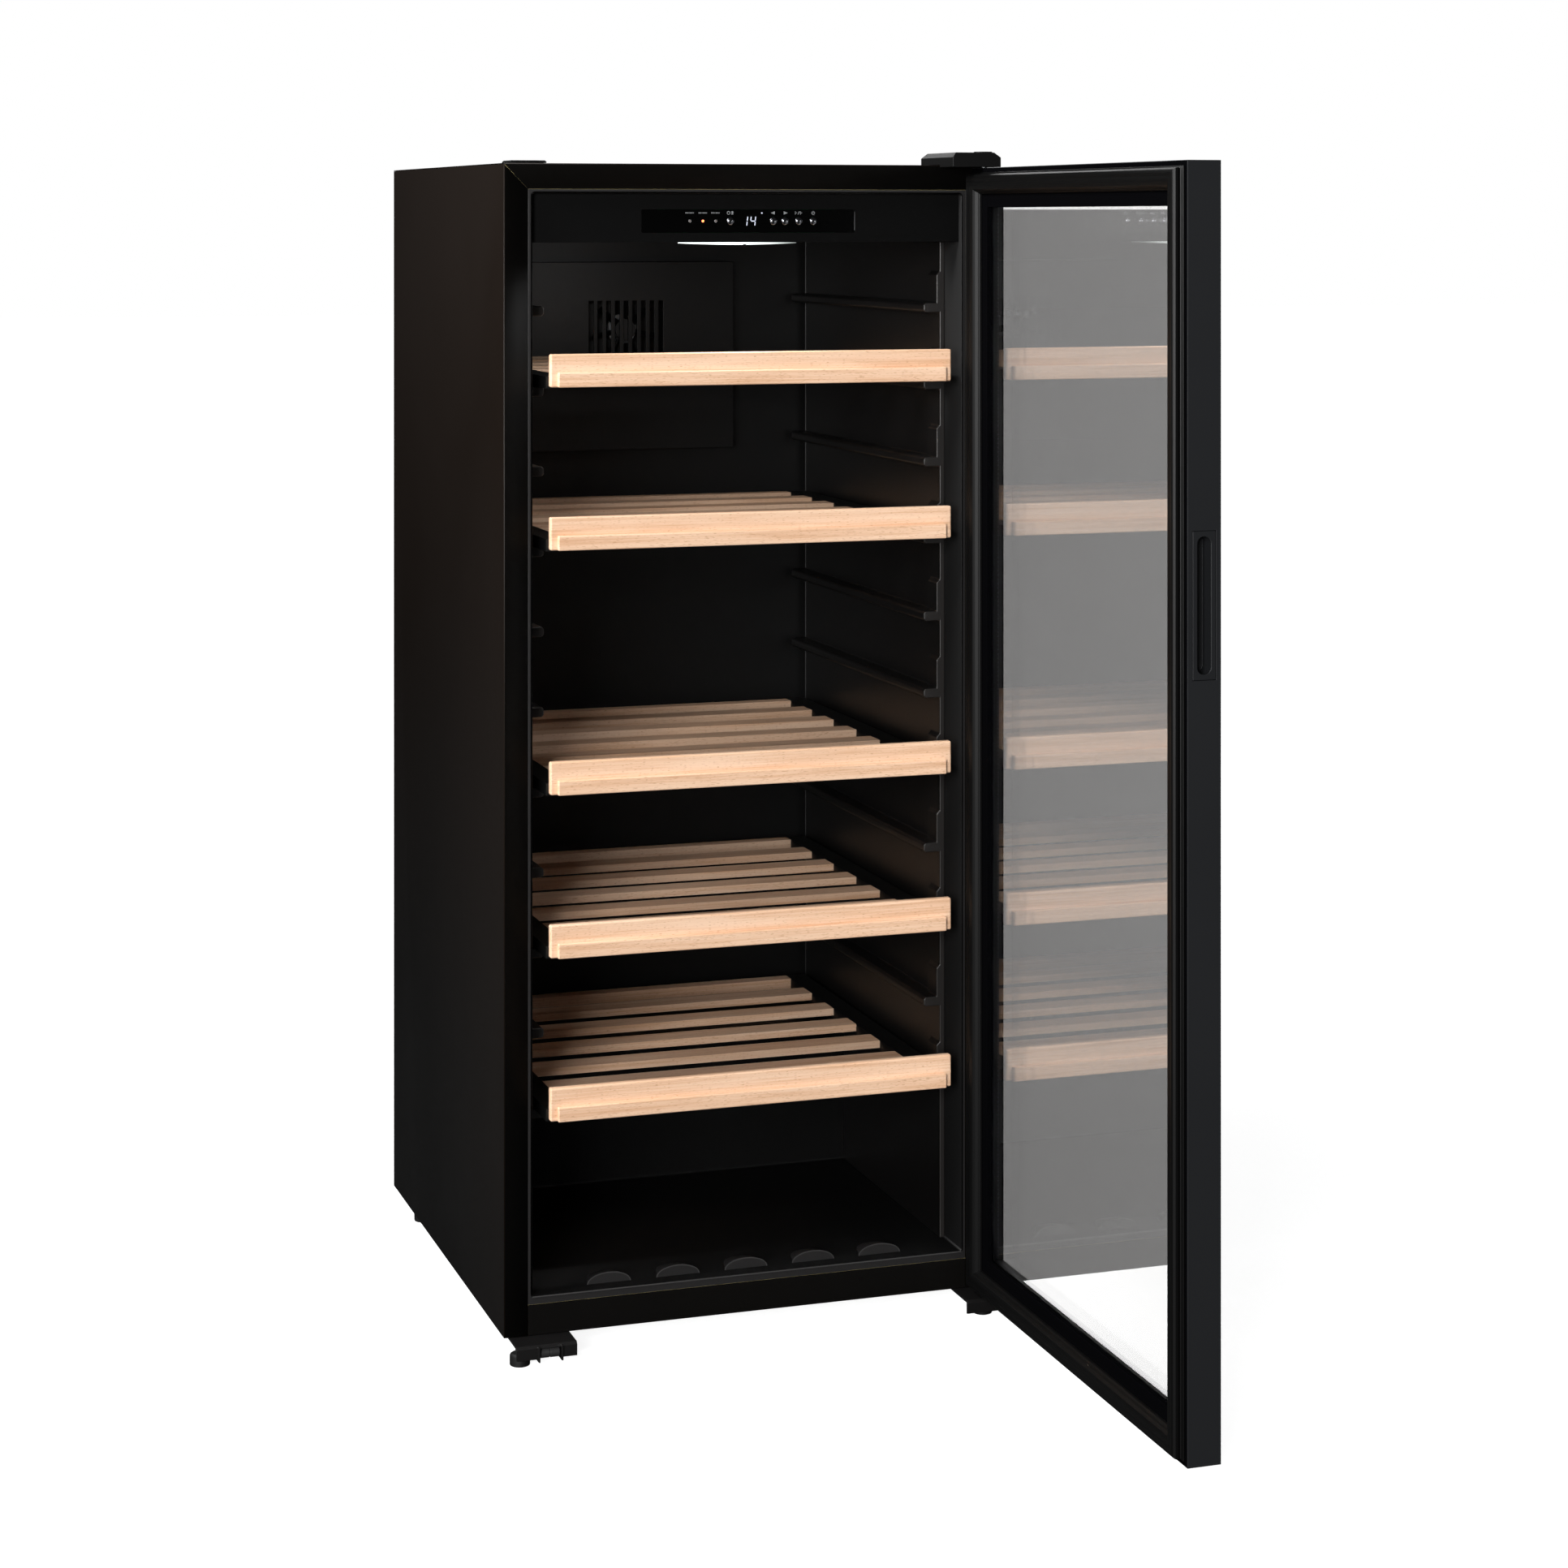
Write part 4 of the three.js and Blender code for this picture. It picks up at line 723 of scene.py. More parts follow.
# ---------- case ----------
@dataclass
class Case:
    """The folded steel case."""

    sheet_mm: float = 0.8
    fold_mm: float = 1.6
    fold_steps: int = 5
    seam_mm: float = 0.3
    back_edge_mm: float = 0.3
    bead_count: int = 4
    bead_width_mm: float = 12.0
    bead_height_mm: float = 2.2
    bead_sink_mm: float = 0.1
    bead_margin_mm: float = 90.0
    screw_rows: int = 7
    screw_inset_mm: float = 9.0
    screw_radius_mm: float = 4.0
    screw_depth_mm: float = 2.0

    def side(self, node: str, outward: int) -> None:
        """Folds one side sheet with its mitred front flange.

        Args:
            node: the CAD node that the sheet stands for.
            outward: -1 for the left side and 1 for the right.
        """
        low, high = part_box(node)
        out = low.x if outward < 0 else high.x
        tip = high.x if outward < 0 else low.x
        fold = self.fold_mm * MM
        inward = -outward
        corner = Vector((out + inward * fold, low.y + fold, low.z))
        bend = arc(corner, -Y * fold, X * (outward * fold), self.fold_steps)
        points = [Vector((tip, low.y, low.z)), *bend, Vector((out, high.y, low.z))]
        shape = bmesh.new()
        strip(shape, points, Z * (high.z - low.z))
        slope_top = Vector((out, low.y, high.z))
        inner_top = Vector((tip, low.y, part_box("top_panel")[0].z - self.seam_mm * MM))
        along = (inner_top - slope_top).normalized()
        normal = along.cross(Y)
        if normal.z < 0:
            normal = -normal
        cut(shape, slope_top, normal, clear=True)
        bmesh.ops.recalc_face_normals(shape, faces=shape.faces)
        self.finish_sheet(node, shape, CASE_PAINT, Vector((out + inward * 0.01, (low.y + high.y) / 2, 0)))

    def finish_sheet(self, node: str, shape: Shape, finish: Finish, inside: Vector) -> None:
        """Makes a folded sheet a piece, thickened towards the inside of the case.

        Args:
            node: the CAD node that the sheet stands for.
            shape: the sheet's outer surface.
            finish: the paint on its wide face; faces across Y, such as the front flange, get the darker copy
                as painted shade.
            inside: a point on the inner side of the sheet.
        """
        wide = max(shape.faces, key=lambda f: f.calc_area())
        if wide.normal.dot(inside - wide.calc_center_median()) > 0:
            bmesh.ops.reverse_faces(shape, faces=shape.faces)
        piece = make(f"{node}_folded", shape, finish, Body.CABINET, node)
        thick = piece.modifiers.new("sheet", "SOLIDIFY")
        thick.thickness = self.sheet_mm * MM
        thick.offset = -1.0
        # Faces across Y, the front flange among them, take the darker copy: painted shade.
        second_finish(piece, SHADED_FLANGE_PAINT, lambda middle, normal: abs(normal.y) > 0.9)

    def top(self) -> None:
        """Folds the top sheet with its front flange, mitred at both ends."""
        low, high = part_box("top_panel")
        fold = self.fold_mm * MM
        corner = Vector((low.x, low.y + fold, high.z - fold))
        bend = arc(corner, -Y * fold, Z * fold, self.fold_steps)
        points = [Vector((low.x, low.y, low.z)), *bend, Vector((low.x, high.y, high.z))]
        shape = bmesh.new()
        strip(shape, points, X * (high.x - low.x))
        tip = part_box("side_panel_left")[1].x
        for sign in (-1, 1):
            edge = low.x if sign < 0 else high.x
            inner = tip if sign < 0 else low.x + high.x - tip
            along = (Vector((inner, 0, low.z)) - Vector((edge, 0, high.z))).normalized()
            normal = along.cross(Y)
            if normal.x * sign < 0:
                normal = -normal
            cut(shape, Vector((edge, 0, high.z)), normal, clear=True)
        bmesh.ops.recalc_face_normals(shape, faces=shape.faces)
        middle = (low + high) / 2
        self.finish_sheet("top_panel", shape, CASE_PAINT, middle - Z)

    def back(self) -> None:
        """Presses the back sheet with its upright beads and screws."""
        low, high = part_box("back_panel")
        shape = bmesh.new()
        cuboid(shape, low, high)
        soften(shape, self.back_edge_mm, 1)
        make("back_panel_pressed", shape, ZINC, Body.CABINET, "back_panel")
        self.back_beads(low, high)
        self.back_screws(low, high)

    def back_beads(self, low: Vector, high: Vector) -> None:
        """Raises the upright beads that stiffen the back sheet.

        Args:
            low: the sheet's lowest corner.
            high: its highest corner.
        """
        beads = bmesh.new()
        width, margin = self.bead_width_mm * MM, self.bead_margin_mm * MM
        near, far = high.y - self.bead_sink_mm * MM, high.y + self.bead_height_mm * MM
        for i in range(self.bead_count):
            x = low.x + (high.x - low.x) * (i + 0.5) / self.bead_count
            cuboid(beads, (x - width / 2, near, low.z + margin), (x + width / 2, far, high.z - margin))
        soften(beads, 2.0, 3)
        make("back_panel_beads", beads, ZINC, Body.CABINET)

    def back_screws(self, low: Vector, high: Vector) -> None:
        """Drives a row of domed screws down each edge of the back sheet.

        Args:
            low: the sheet's lowest corner.
            high: its highest corner.
        """
        screws = bmesh.new()
        inset, head, depth = self.screw_inset_mm * MM, self.screw_radius_mm * MM, self.screw_depth_mm * MM
        for x in (low.x + inset, high.x - inset):
            for i in range(self.screw_rows):
                z = low.z + inset + (high.z - low.z - 2 * inset) * i / (self.screw_rows - 1)
                made = bmesh.ops.create_cone(
                    screws, cap_ends=True, segments=16, radius1=head, radius2=head * 0.6, depth=depth,
                )["verts"]
                place = Matrix.Translation((x, high.y + depth * 0.4, z))
                turn = Matrix.Rotation(-math.pi / 2, 4, "X")
                bmesh.ops.transform(screws, matrix=place @ turn, verts=made)
        make("back_panel_screws", screws, ALUMINIUM, Body.CABINET)

    def build(self) -> None:
        """Builds the case."""
        self.side("side_panel_left", -1)
        self.side("side_panel_right", 1)
        self.top()
        self.back()
        # The front rail takes the darker copy of the paint: painted shade.
        rounded("bottom_front_rail", SHADED_FLANGE_PAINT, Body.CABINET, 0.5)
        dress(ZINC, "base_pan", "machine_bay_wall", "machine_bay_ceiling")
        dress(FOAM, "insulation")


# ---------- liner and racks ----------
@dataclass
class Liner:
    """The vacuum-formed liner with its lip and floor bumps, and the shelf racks."""

    wall_mm: float = 2.0
    corner_mm: float = 3.0
    lip_mm: float = 5.0
    bump_count: int = 5
    bump_width_mm: float = 52.6
    bump_height_mm: float = 12.3
    bump_pitch_mm: float = 83.6
    bump_front_mm: float = 21.0
    bump_length_mm: float = 46.0
    bump_steps: int = 24
    rim_mm: float = 1.1
    rim_proud_mm: float = 0.4
    rim_depth_mm: float = 1.0
    seam_mm: float = 0.3
    bead_height_mm: float = 1.6
    bead_proud_mm: float = 0.9

    def cavity(self) -> None:
        """Forms the cavity from its side outline, with round corners and the front lip."""
        low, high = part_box("liner")
        rack_low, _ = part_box("shelf_rack_right")
        wall, lip = self.wall_mm * MM, self.lip_mm * MM
        half_left, half_right = low.x + lip, high.x - lip
        top = high.z - lip + self.seam_mm * MM
        floor = rack_low.z - self.seam_mm * MM
        back = high.y - wall
        step_y, step_z = self.step()
        outline = [
            (low.y, floor), (step_y, floor), (step_y, step_z), (back, step_z), (back, top), (low.y, top),
        ]
        shape = bmesh.new()
        strip(shape, [Vector((half_left, y, z)) for y, z in outline], X * (half_right - half_left))
        for x in (half_left, half_right):
            rim = [v for v in shape.verts if abs(v.co.x - x) < 1e-6]
            ordered = [next(v for v in rim if (v.co - Vector((x, y, z))).length < 1e-6) for y, z in outline]
            shape.faces.new(ordered)
        bmesh.ops.recalc_face_normals(shape, faces=shape.faces)
        soften(shape, self.corner_mm, 5)
        inside = Vector(((half_left + half_right) / 2, back / 2, (floor + top) / 2))
        wide = max(shape.faces, key=lambda f: f.calc_area())
        if wide.normal.dot(inside - wide.calc_center_median()) < 0:
            bmesh.ops.reverse_faces(shape, faces=shape.faces)
        piece = make("liner_formed", shape, LINER_ABS, Body.CABINET, "liner")
        thick = piece.modifiers.new("wall", "SOLIDIFY")
        thick.thickness = wall
        thick.offset = -1.0
        self.front_lip(low, high, (half_left, half_right, floor, top))

    def step(self) -> tuple[float, float]:
        """Finds the raised step behind the floor from the liner's shape.

        Returns:
            The step's front in Y and its top in Z, in metres.
        """
        spots = [v.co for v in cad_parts["liner"].data.vertices]
        low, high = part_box("liner")
        wall = self.wall_mm * MM
        faces_y = sorted({round(c.y, 5) for c in spots if low.y + 0.2 < c.y < high.y - wall - 0.05})
        tops = sorted({round(c.z, 5) for c in spots if c.y > high.y - wall - 0.001 and c.z < low.z + 0.4})
        return faces_y[0], tops[-1]

    def front_lip(self, low: Vector, high: Vector, mouth: tuple[float, float, float, float]) -> None:
        """Forms the lip round the mouth, painted pale as a lit copy, and the bead along its sill, painted as
        a highlight.

        Args:
            low: the liner's lowest corner.
            high: its highest corner.
            mouth: the mouth's left, right, floor and top, in metres.
        """
        left, right, floor, top = mouth
        shape = bmesh.new()
        depth = self.wall_mm * MM
        bottom_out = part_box("bottom_front_rail")[1].z + self.seam_mm * MM
        outer = [(low.x, bottom_out), (high.x, bottom_out), (high.x, high.z), (low.x, high.z)]
        inner = [(left, floor), (right, floor), (right, top), (left, top)]
        rings = []
        for y in (low.y, low.y + depth):
            for ring in (outer, inner):
                verts = [shape.verts.new((x, y, z)) for x, z in ring]
                rings.append([shape.edges.new((a, b)) for a, b in zip(verts, verts[1:] + verts[:1])])
        front_out, front_in, back_out, back_in = rings
        for pair in ((front_out, front_in), (back_out, back_in), (front_out, back_out), (front_in, back_in)):
            bmesh.ops.bridge_loops(shape, edges=[*pair[0], *pair[1]])
        bmesh.ops.recalc_face_normals(shape, faces=shape.faces)
        soften(shape, 0.5, 2)
        # The lip takes the paler copy of the liner plastic: painted light.
        make("liner_lip", shape, LIT_LIP_ABS, Body.CABINET)
        bead = bmesh.new()
        height, proud = self.bead_height_mm * MM, self.bead_proud_mm * MM
        cuboid(bead, (left, low.y - proud, floor - height), (right, low.y + depth / 2, floor))
        soften(bead, 0.6, 3)
        # The bead takes the grey copy: a painted highlight.
        make("liner_sill_bead", bead, HIGHLIGHT_RIM_ABS, Body.CABINET)

    def floor_height(self) -> float:
        """The height of the liner's floor in metres."""
        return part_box("shelf_rack_right")[0].z - self.seam_mm * MM

    def arch(self, centre: Vector, width: float, height: float) -> list[Vector]:
        """Points along a half ellipse that stands on the floor, from right to left.

        Args:
            centre: the middle of its foot.
            width: half its width.
            height: its height.

        Returns:
            The points.
        """
        turn = [math.pi * k / self.bump_steps for k in range(self.bump_steps + 1)]
        return [centre + X * (width * math.cos(t)) + Z * (height * math.sin(t)) for t in turn]

    def bump_centres(self) -> list[Vector]:
        """The middle of each bump's foot, from left to right."""
        low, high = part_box("liner")
        middle, y = (low.x + high.x) / 2, low.y + self.bump_front_mm * MM
        places = [(i - (self.bump_count - 1) / 2) * self.bump_pitch_mm * MM for i in range(self.bump_count)]
        return [Vector((middle + x, y, self.floor_height())) for x in places]

    def bumps(self) -> None:
        """Forms the crescent bumps along the front of the floor, their faces painted pale as a lit copy."""
        half, height = self.bump_width_mm * MM / 2, self.bump_height_mm * MM
        length = self.bump_length_mm * MM
        shape = bmesh.new()
        for centre in self.bump_centres():
            rim = self.arch(centre, half, height)
            foot = centre + Y * (0.35 * length) - Z * (0.5 * MM)
            reach = 0.65 * length / height
            tail = [foot + X * (0.8 * (p.x - centre.x)) + Y * (reach * (p.z - centre.z)) for p in rim]
            mid = [a.lerp(b, 0.5) + Z * (height * 0.1) for a, b in zip(rim, tail)]
            loops = []
            for line in (rim, mid, tail):
                verts = [shape.verts.new(p) for p in line]
                loops.append([shape.edges.new(pair) for pair in zip(verts, verts[1:])])
            bmesh.ops.bridge_loops(shape, edges=[*loops[0], *loops[1]])
            bmesh.ops.bridge_loops(shape, edges=[*loops[1], *loops[2]])
            bmesh.ops.contextual_create(shape, geom=loops[0])
        bmesh.ops.remove_doubles(shape, verts=shape.verts, dist=0.01 * MM)
        bmesh.ops.recalc_face_normals(shape, faces=shape.faces)
        soften(shape, 0.8, 2, 50.0)
        # The bumps take the paler copy of the liner plastic: painted light.
        make("floor_bumps", shape, LIT_LIP_ABS, Body.CABINET)
        self.bump_rims()

    def bump_rims(self) -> None:
        """Raises a thin rim along the upper edge of every bump's face, painted grey as a highlight."""
        half, height, wide = self.bump_width_mm * MM / 2, self.bump_height_mm * MM, self.rim_mm * MM
        shape = bmesh.new()
        for centre in self.bump_centres():
            front = centre - Y * (self.rim_proud_mm * MM)
            loops = []
            for line in (self.arch(front, half, height), self.arch(front, half - wide, height - wide)):
                verts = [shape.verts.new(p) for p in line]
                loops += [shape.edges.new(pair) for pair in zip(verts, verts[1:])]
            bmesh.ops.bridge_loops(shape, edges=loops)
        raised = bmesh.ops.extrude_face_region(shape, geom=shape.faces[:])["geom"]
        moved = [g for g in raised if isinstance(g, bmesh.types.BMVert)]
        bmesh.ops.translate(shape, vec=Y * (self.rim_depth_mm * MM), verts=moved)
        bmesh.ops.recalc_face_normals(shape, faces=shape.faces)
        # The rims take the grey copy: a painted highlight.
        make("floor_bump_rims", shape, HIGHLIGHT_RIM_ABS, Body.CABINET)

    def build(self) -> None:
        """Builds the liner and the racks."""
        self.cavity()
        self.bumps()
        for node in ("shelf_rack_left", "shelf_rack_right"):
            rack = rounded(node, RACK_ABS, Body.CABINET, 1.6, 3)
            # Faces that turn to the front take the paler copy: painted light.
            second_finish(rack, LIT_RACK_FRONT_ABS, lambda middle, normal: normal.y < -0.3)


# ---------- control panel ----------
@dataclass
class ControlPanel:
    """The fascia with its window, buttons, digits, indicators and lamp."""

    segment_mm: float = 1.1
    digit_height_mm: float = 11.5
    digit_width_mm: float = 5.6
    digit_pitch_mm: float = 9.9
    digit_slant: float = 0.12
    digits_right_mm: float = 1.0
    icon_rise_mm: float = 9.6
    icon_mm: float = 4.2
    ink_mm: float = 0.15
    lens_bow_mm: float = 1.7
    stroke_mm: float = 0.7
    button_radius_mm: float = 4.7
    dome_mm: float = 2.2
    dome_steps: int = 8
    edge_mm: float = 0.5
    edge_proud_mm: float = 0.3
    edge_inset_mm: float = 2.6
    light_inset_mm: float = 4.0
    light_pitch_mm: float = 16.0
    reading: str = "14"
    buttons: tuple[str, ...] = ("light", "up", "down", "units", "power")

    def face(self) -> tuple[float, float, float]:
        """The window's middle in X and Z, and its front in Y."""
        low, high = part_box("display_window")
        return (low.x + high.x) / 2, low.y, (low.z + high.z) / 2

    def window_edge_highlight(self) -> None:
        """Adds a grey strip along the window's right end: a painted highlight on its polished edge."""
        low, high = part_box("display_window")
        thick, proud, inset = self.edge_mm * MM, self.edge_proud_mm * MM, self.edge_inset_mm * MM
        shape = bmesh.new()
        cuboid(shape, (high.x - thick, low.y - proud, low.z + inset), (high.x, low.y + thick, high.z - inset))
        soften(shape, 0.15, 2)
        # A grey strip for the painted highlight on the window's edge.
        make("window_edge_highlight", shape, HIGHLIGHT_EDGE_ACRYLIC, Body.CABINET)

    def button(self, name: str) -> None:
        """Turns one domed button.

        Args:
            name: the button's name, such as "power".
        """
        low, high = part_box(f"button_{name}")
        centre = Vector(((low.x + high.x) / 2, high.y, (low.z + high.z) / 2))
        nose = (high.y - low.y) / MM
        radius, rise = self.button_radius_mm, self.dome_mm
        turn = [math.pi / 2 * i / self.dome_steps for i in range(self.dome_steps)]
        dome = [(radius * math.cos(t), nose - rise + rise * math.sin(t)) for t in turn]
        cap = turned([(0, 0), (radius, 0), *dome, (0, nose)], centre, -Y, 40)
        make(f"button_{name}_dome", cap, BUTTON_CHROME, f"{name}_button", f"button_{name}")

    def stroke(self, shape: Shape, start: tuple[float, float], end: tuple[float, float],
               width_mm: float, front: float, depth_mm: float) -> None:
        """Adds a straight bar with pointed ends between two places on the window, in millimetres.

        Args:
            shape: the shape to add to.
            start: one end in X and Z, from the window's middle.
            end: the other end.
            width_mm: the bar's width.
            front: the bar's front in Y, in metres.
            depth_mm: the bar's depth.
        """
        mid_x, _, mid_z = self.face()
        a, b = Vector((start[0], 0, start[1])) * MM, Vector((end[0], 0, end[1])) * MM
        span = b - a
        made = bmesh.ops.create_cube(shape, size=1.0)["verts"]
        bmesh.ops.scale(shape, vec=(span.length, depth_mm * MM, width_mm * MM), verts=made)
        turn = Matrix.Rotation(-math.atan2(span.z, span.x), 4, "Y")
        place = Vector((mid_x, front + depth_mm * MM / 2, mid_z)) + (a + b) / 2
        bmesh.ops.transform(shape, matrix=Matrix.Translation(place) @ turn, verts=made)

    def digits(self) -> None:
        """Lights the two seven-segment digits, which lean to the right."""
        lit = {"1": "bc", "4": "bcfg"}
        w, h = self.digit_width_mm, self.digit_height_mm
        corners = {
            "b": ((w, h), (w, h / 2)), "c": ((w, h / 2), (w, 0)),
            "f": ((0, h / 2), (0, h)), "g": ((0, h / 2), (w, h / 2)),
        }
        mid_x, front, _ = self.face()
        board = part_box("control_board")
        start = ((board[0].x + board[1].x) / 2 - mid_x) / MM + self.digits_right_mm - self.digit_pitch_mm
        shape = bmesh.new()
        for place, figure in enumerate(self.reading):
            for segment in lit[figure]:
                ends = []
                for x, z in corners[segment]:
                    ends.append((start + place * self.digit_pitch_mm + x + self.digit_slant * z, z - h / 2))
                (x0, z0), (x1, z1) = ends
                span = Vector((x1 - x0, z1 - z0)).normalized() * (self.segment_mm * 0.55)
                self.stroke(
                    shape, (x0 + span.x, z0 + span.y), (x1 - span.x, z1 - span.y),
                    self.segment_mm, front - 0.12 * MM, 0.1,
                )
        make("lit_digits", shape, DIGIT_GLOW, Body.CABINET)

    def icons(self) -> None:
        """Prints a small sign over each button and a short bar over each indicator."""
        mid_x, front, mid_z = self.face()
        places = {}
        for name in self.buttons:
            low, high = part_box(f"button_{name}")
            places[name] = ((low.x + high.x) / 2 - mid_x) / MM
        shape = bmesh.new()
        rise, size, ink = self.icon_rise_mm, self.icon_mm, front - self.ink_mm * MM
        for name, sign in (("up", 1), ("down", -1)):
            made = bmesh.ops.create_cone(
                shape, cap_ends=True, segments=3, radius1=size * 0.62 * MM, radius2=size * 0.62 * MM,
                depth=self.ink_mm * MM,
            )["verts"]
            turn = Matrix.Rotation(math.pi / 2, 4, "X") @ Matrix.Rotation(math.pi / 2 * sign, 4, "Z")
            squash = Matrix.Diagonal((1.25, 1, 0.8, 1))
            place = Matrix.Translation((mid_x + places[name] * MM, ink, mid_z + rise * MM)) @ squash
            bmesh.ops.transform(shape, matrix=place @ turn, verts=made)
        for name, gap_turn in (("power", 0.5), ("light", 0.0)):
            x = places[name] - (2.2 if name == "light" else 0)
            steps, radius = 14, size * 0.42
            for i in range(steps):
                shares = [gap_turn / 5 + (1 - gap_turn / 2.5) * k / steps for k in (i, i + 1)]
                a, b = (FULL_TURN * share + math.pi / 2 for share in shares)
                self.stroke(
                    shape, (x + radius * math.cos(a), rise + radius * math.sin(a)),
                    (x + radius * math.cos(b), rise + radius * math.sin(b)), self.stroke_mm, ink, self.ink_mm,
                )
        x = places["power"]
        bars = [((x, 0.0), (x, size * 0.55), self.stroke_mm)]
        x = places["light"] + 2.4
        bars += [((x - 1.1, -1.6), (x + 1.1, -1.6), self.stroke_mm), ((x, -1.6), (x, 2.0), 2.0)]
        x = places["units"]
        for dx in (-3.4, 3.0):
            bars.append(((x + dx - 1.1, 0.0), (x + dx + 1.1, 0.0), self.stroke_mm))
            bars.append(((x + dx - 0.9, -1.8), (x + dx - 0.9, 1.8), self.stroke_mm))
        bars.append(((x - 1.0, -1.9), (x + 0.8, 1.9), self.stroke_mm))
        for x in self.lights():
            for start, end in ((-5.4, -4.2), (-3.6, -2.2), (-1.4, -0.6), (0.2, 1.6), (2.2, 3.4), (4.0, 4.8)):
                bars.append(((x + start, 0.0), (x + end, 0.0), 1.3))
        for (x0, z0), (x1, z1), width in bars:
            self.stroke(shape, (x0, rise + z0), (x1, rise + z1), width, ink, self.ink_mm)
        make("window_print", shape, INK, Body.CABINET)

    def lights(self) -> list[float]:
        """The three indicators' places in X, in millimetres from the window's middle."""
        mid_x = self.face()[0]
        low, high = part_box("indicator_light_guide")
        first = (low.x - mid_x) / MM + self.light_inset_mm
        last = (high.x - mid_x) / MM - self.light_inset_mm
        return [first, first + self.light_pitch_mm, last]

    def indicators(self) -> None:
        """Lights the middle indicator and gives the outer two a dim painted glow."""
        mid_x, front, mid_z = self.face()
        # The outer two indicators take a faint painted glow.
        names, finishes = ("left", "middle", "right"), (PAINTED_SPILL_GLOW, AMBER_GLOW, PAINTED_SPILL_GLOW)
        for name, x, finish in zip(names, self.lights(), finishes):
            centre = Vector((mid_x + x * MM, front + 0.5 * MM, mid_z))
            outline = [(0, 0), (1.5, 0), (1.5, 0.5), (1.2, 0.9), (0.7, 1.1), (0, 1.2)]
            make(f"indicator_{name}", turned(outline, centre, -Y, 20), finish, Body.CABINET)
            if finish is AMBER_GLOW:
                core = turned([(0, 0.9), (0.8, 0.9), (0.8, 1.15), (0.5, 1.35), (0, 1.4)], centre, -Y, 20)
                make("indicator_core", core, AMBER_CORE, Body.CABINET)
        centre = Vector((mid_x + 15.5 * MM, front + 0.3 * MM, mid_z + 9.4 * MM))
        bead = turned([(0, 0), (1.0, 0), (0.8, 0.6), (0, 0.8)], centre, -Y, 16)
        make("sensor_light", bead, DIGIT_GLOW, Body.CABINET)

    def lamp(self) -> None:
        """Makes the lamp's bowed diffuser and the screw boss in its middle."""
        low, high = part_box("lamp_lens")
        middle, half = (low.x + high.x) / 2, (high.x - low.x) / 2
        shape = bmesh.new()
        cuboid(shape, (low.x, low.y, high.z - 1.0 * MM), (high.x, high.y, high.z))
        across = [e for e in shape.edges if abs((e.verts[0].co - e.verts[1].co).normalized().x) > 0.9]
        bmesh.ops.subdivide_edges(shape, edges=across, cuts=23, use_grid_fill=True)
        for vert in shape.verts:
            if vert.co.z < high.z - 0.5 * MM:
                vert.co.z -= self.lens_bow_mm * MM * (1 - ((vert.co.x - middle) / half) ** 2)
        soften(shape, 0.4, 2, 50.0)
        make("lamp_diffuser", shape, LAMP_GLOW, Body.CABINET, "lamp_lens")
        centre = Vector((middle + 6 * MM, low.y + 3 * MM, high.z))
        boss = turned([(0, 2.0), (3.4, 2.0), (3.4, 3.0), (2.8, 4.2), (1.8, 4.9), (0, 5.1)], centre, -Z, 28)
        make("lamp_screw_boss", boss, FASCIA_ABS, Body.CABINET)

    def build(self) -> None:
        """Builds the control panel."""
        rounded("control_fascia", FASCIA_ABS, Body.CABINET, 0.7)
        rounded("display_window", WINDOW_ACRYLIC, Body.CABINET, 0.3)
        self.window_edge_highlight()
        dress(BOARD_MASK, "control_board")
        dress(CLEAR_GUIDE, "indicator_light_guide")
        for name in self.buttons:
            self.button(name)
        self.digits()
        self.icons()
        self.indicators()
        self.lamp()


# ---------- shelves ----------
@dataclass
class Shelf:
    """One sliding shelf: a routed front board and a slatted deck."""

    number: int
    band_inset_mm: float = 8.0
    band_height_mm: float = 17.0
    band_proud_mm: float = 6.0
    band_sink_mm: float = 0.5
    band_corner_mm: float = 1.6
    corner_mm: float = 2.2
    slide_mm: float = 26.0
    slat_corner_mm: float = 1.2

    def board(self) -> None:
        """Shapes the front board with its proud, shorter lower band."""
        node = f"shelf_{self.number}_board"
        low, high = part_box(node)
        inset, proud = self.band_inset_mm * MM, self.band_proud_mm * MM
        shape = bmesh.new()
        cuboid(shape, (low.x, low.y + proud, low.z), high)
        soften(shape, self.corner_mm, 4)
        band = bmesh.new()
        deep, tall = proud + self.band_sink_mm * MM, self.band_height_mm * MM
        cuboid(band, (low.x + inset, low.y, low.z), (high.x - inset, low.y + deep, low.z + tall))
        soften(band, self.band_corner_mm, 4)
        mesh = bpy.data.meshes.new("band")
        band.to_mesh(mesh)
        band.free()
        shape.from_mesh(mesh)
        make(f"{node}_beech", shape, SHELF_BEECH, f"shelf_{self.number}", node)

    def deck(self) -> None:
        """Rounds the deck's slats and its black slides."""
        node = f"shelf_{self.number}_deck"
        low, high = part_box(node)
        width = self.slide_mm * MM
        shape = copy_of(node)
        for x in (low.x + width, high.x - width):
            cut(shape, Vector((x, 0, 0)), X)
        soften(shape, self.slat_corner_mm, 2)
        deck = make(f"{node}_beech", shape, SHELF_BEECH, f"shelf_{self.number}", node)
        second_finish(deck, BLACK_ABS, lambda middle, _: not low.x + width < middle.x < high.x - width)

    def build(self) -> None:
        """Builds the shelf."""
        self.board()
        self.deck()


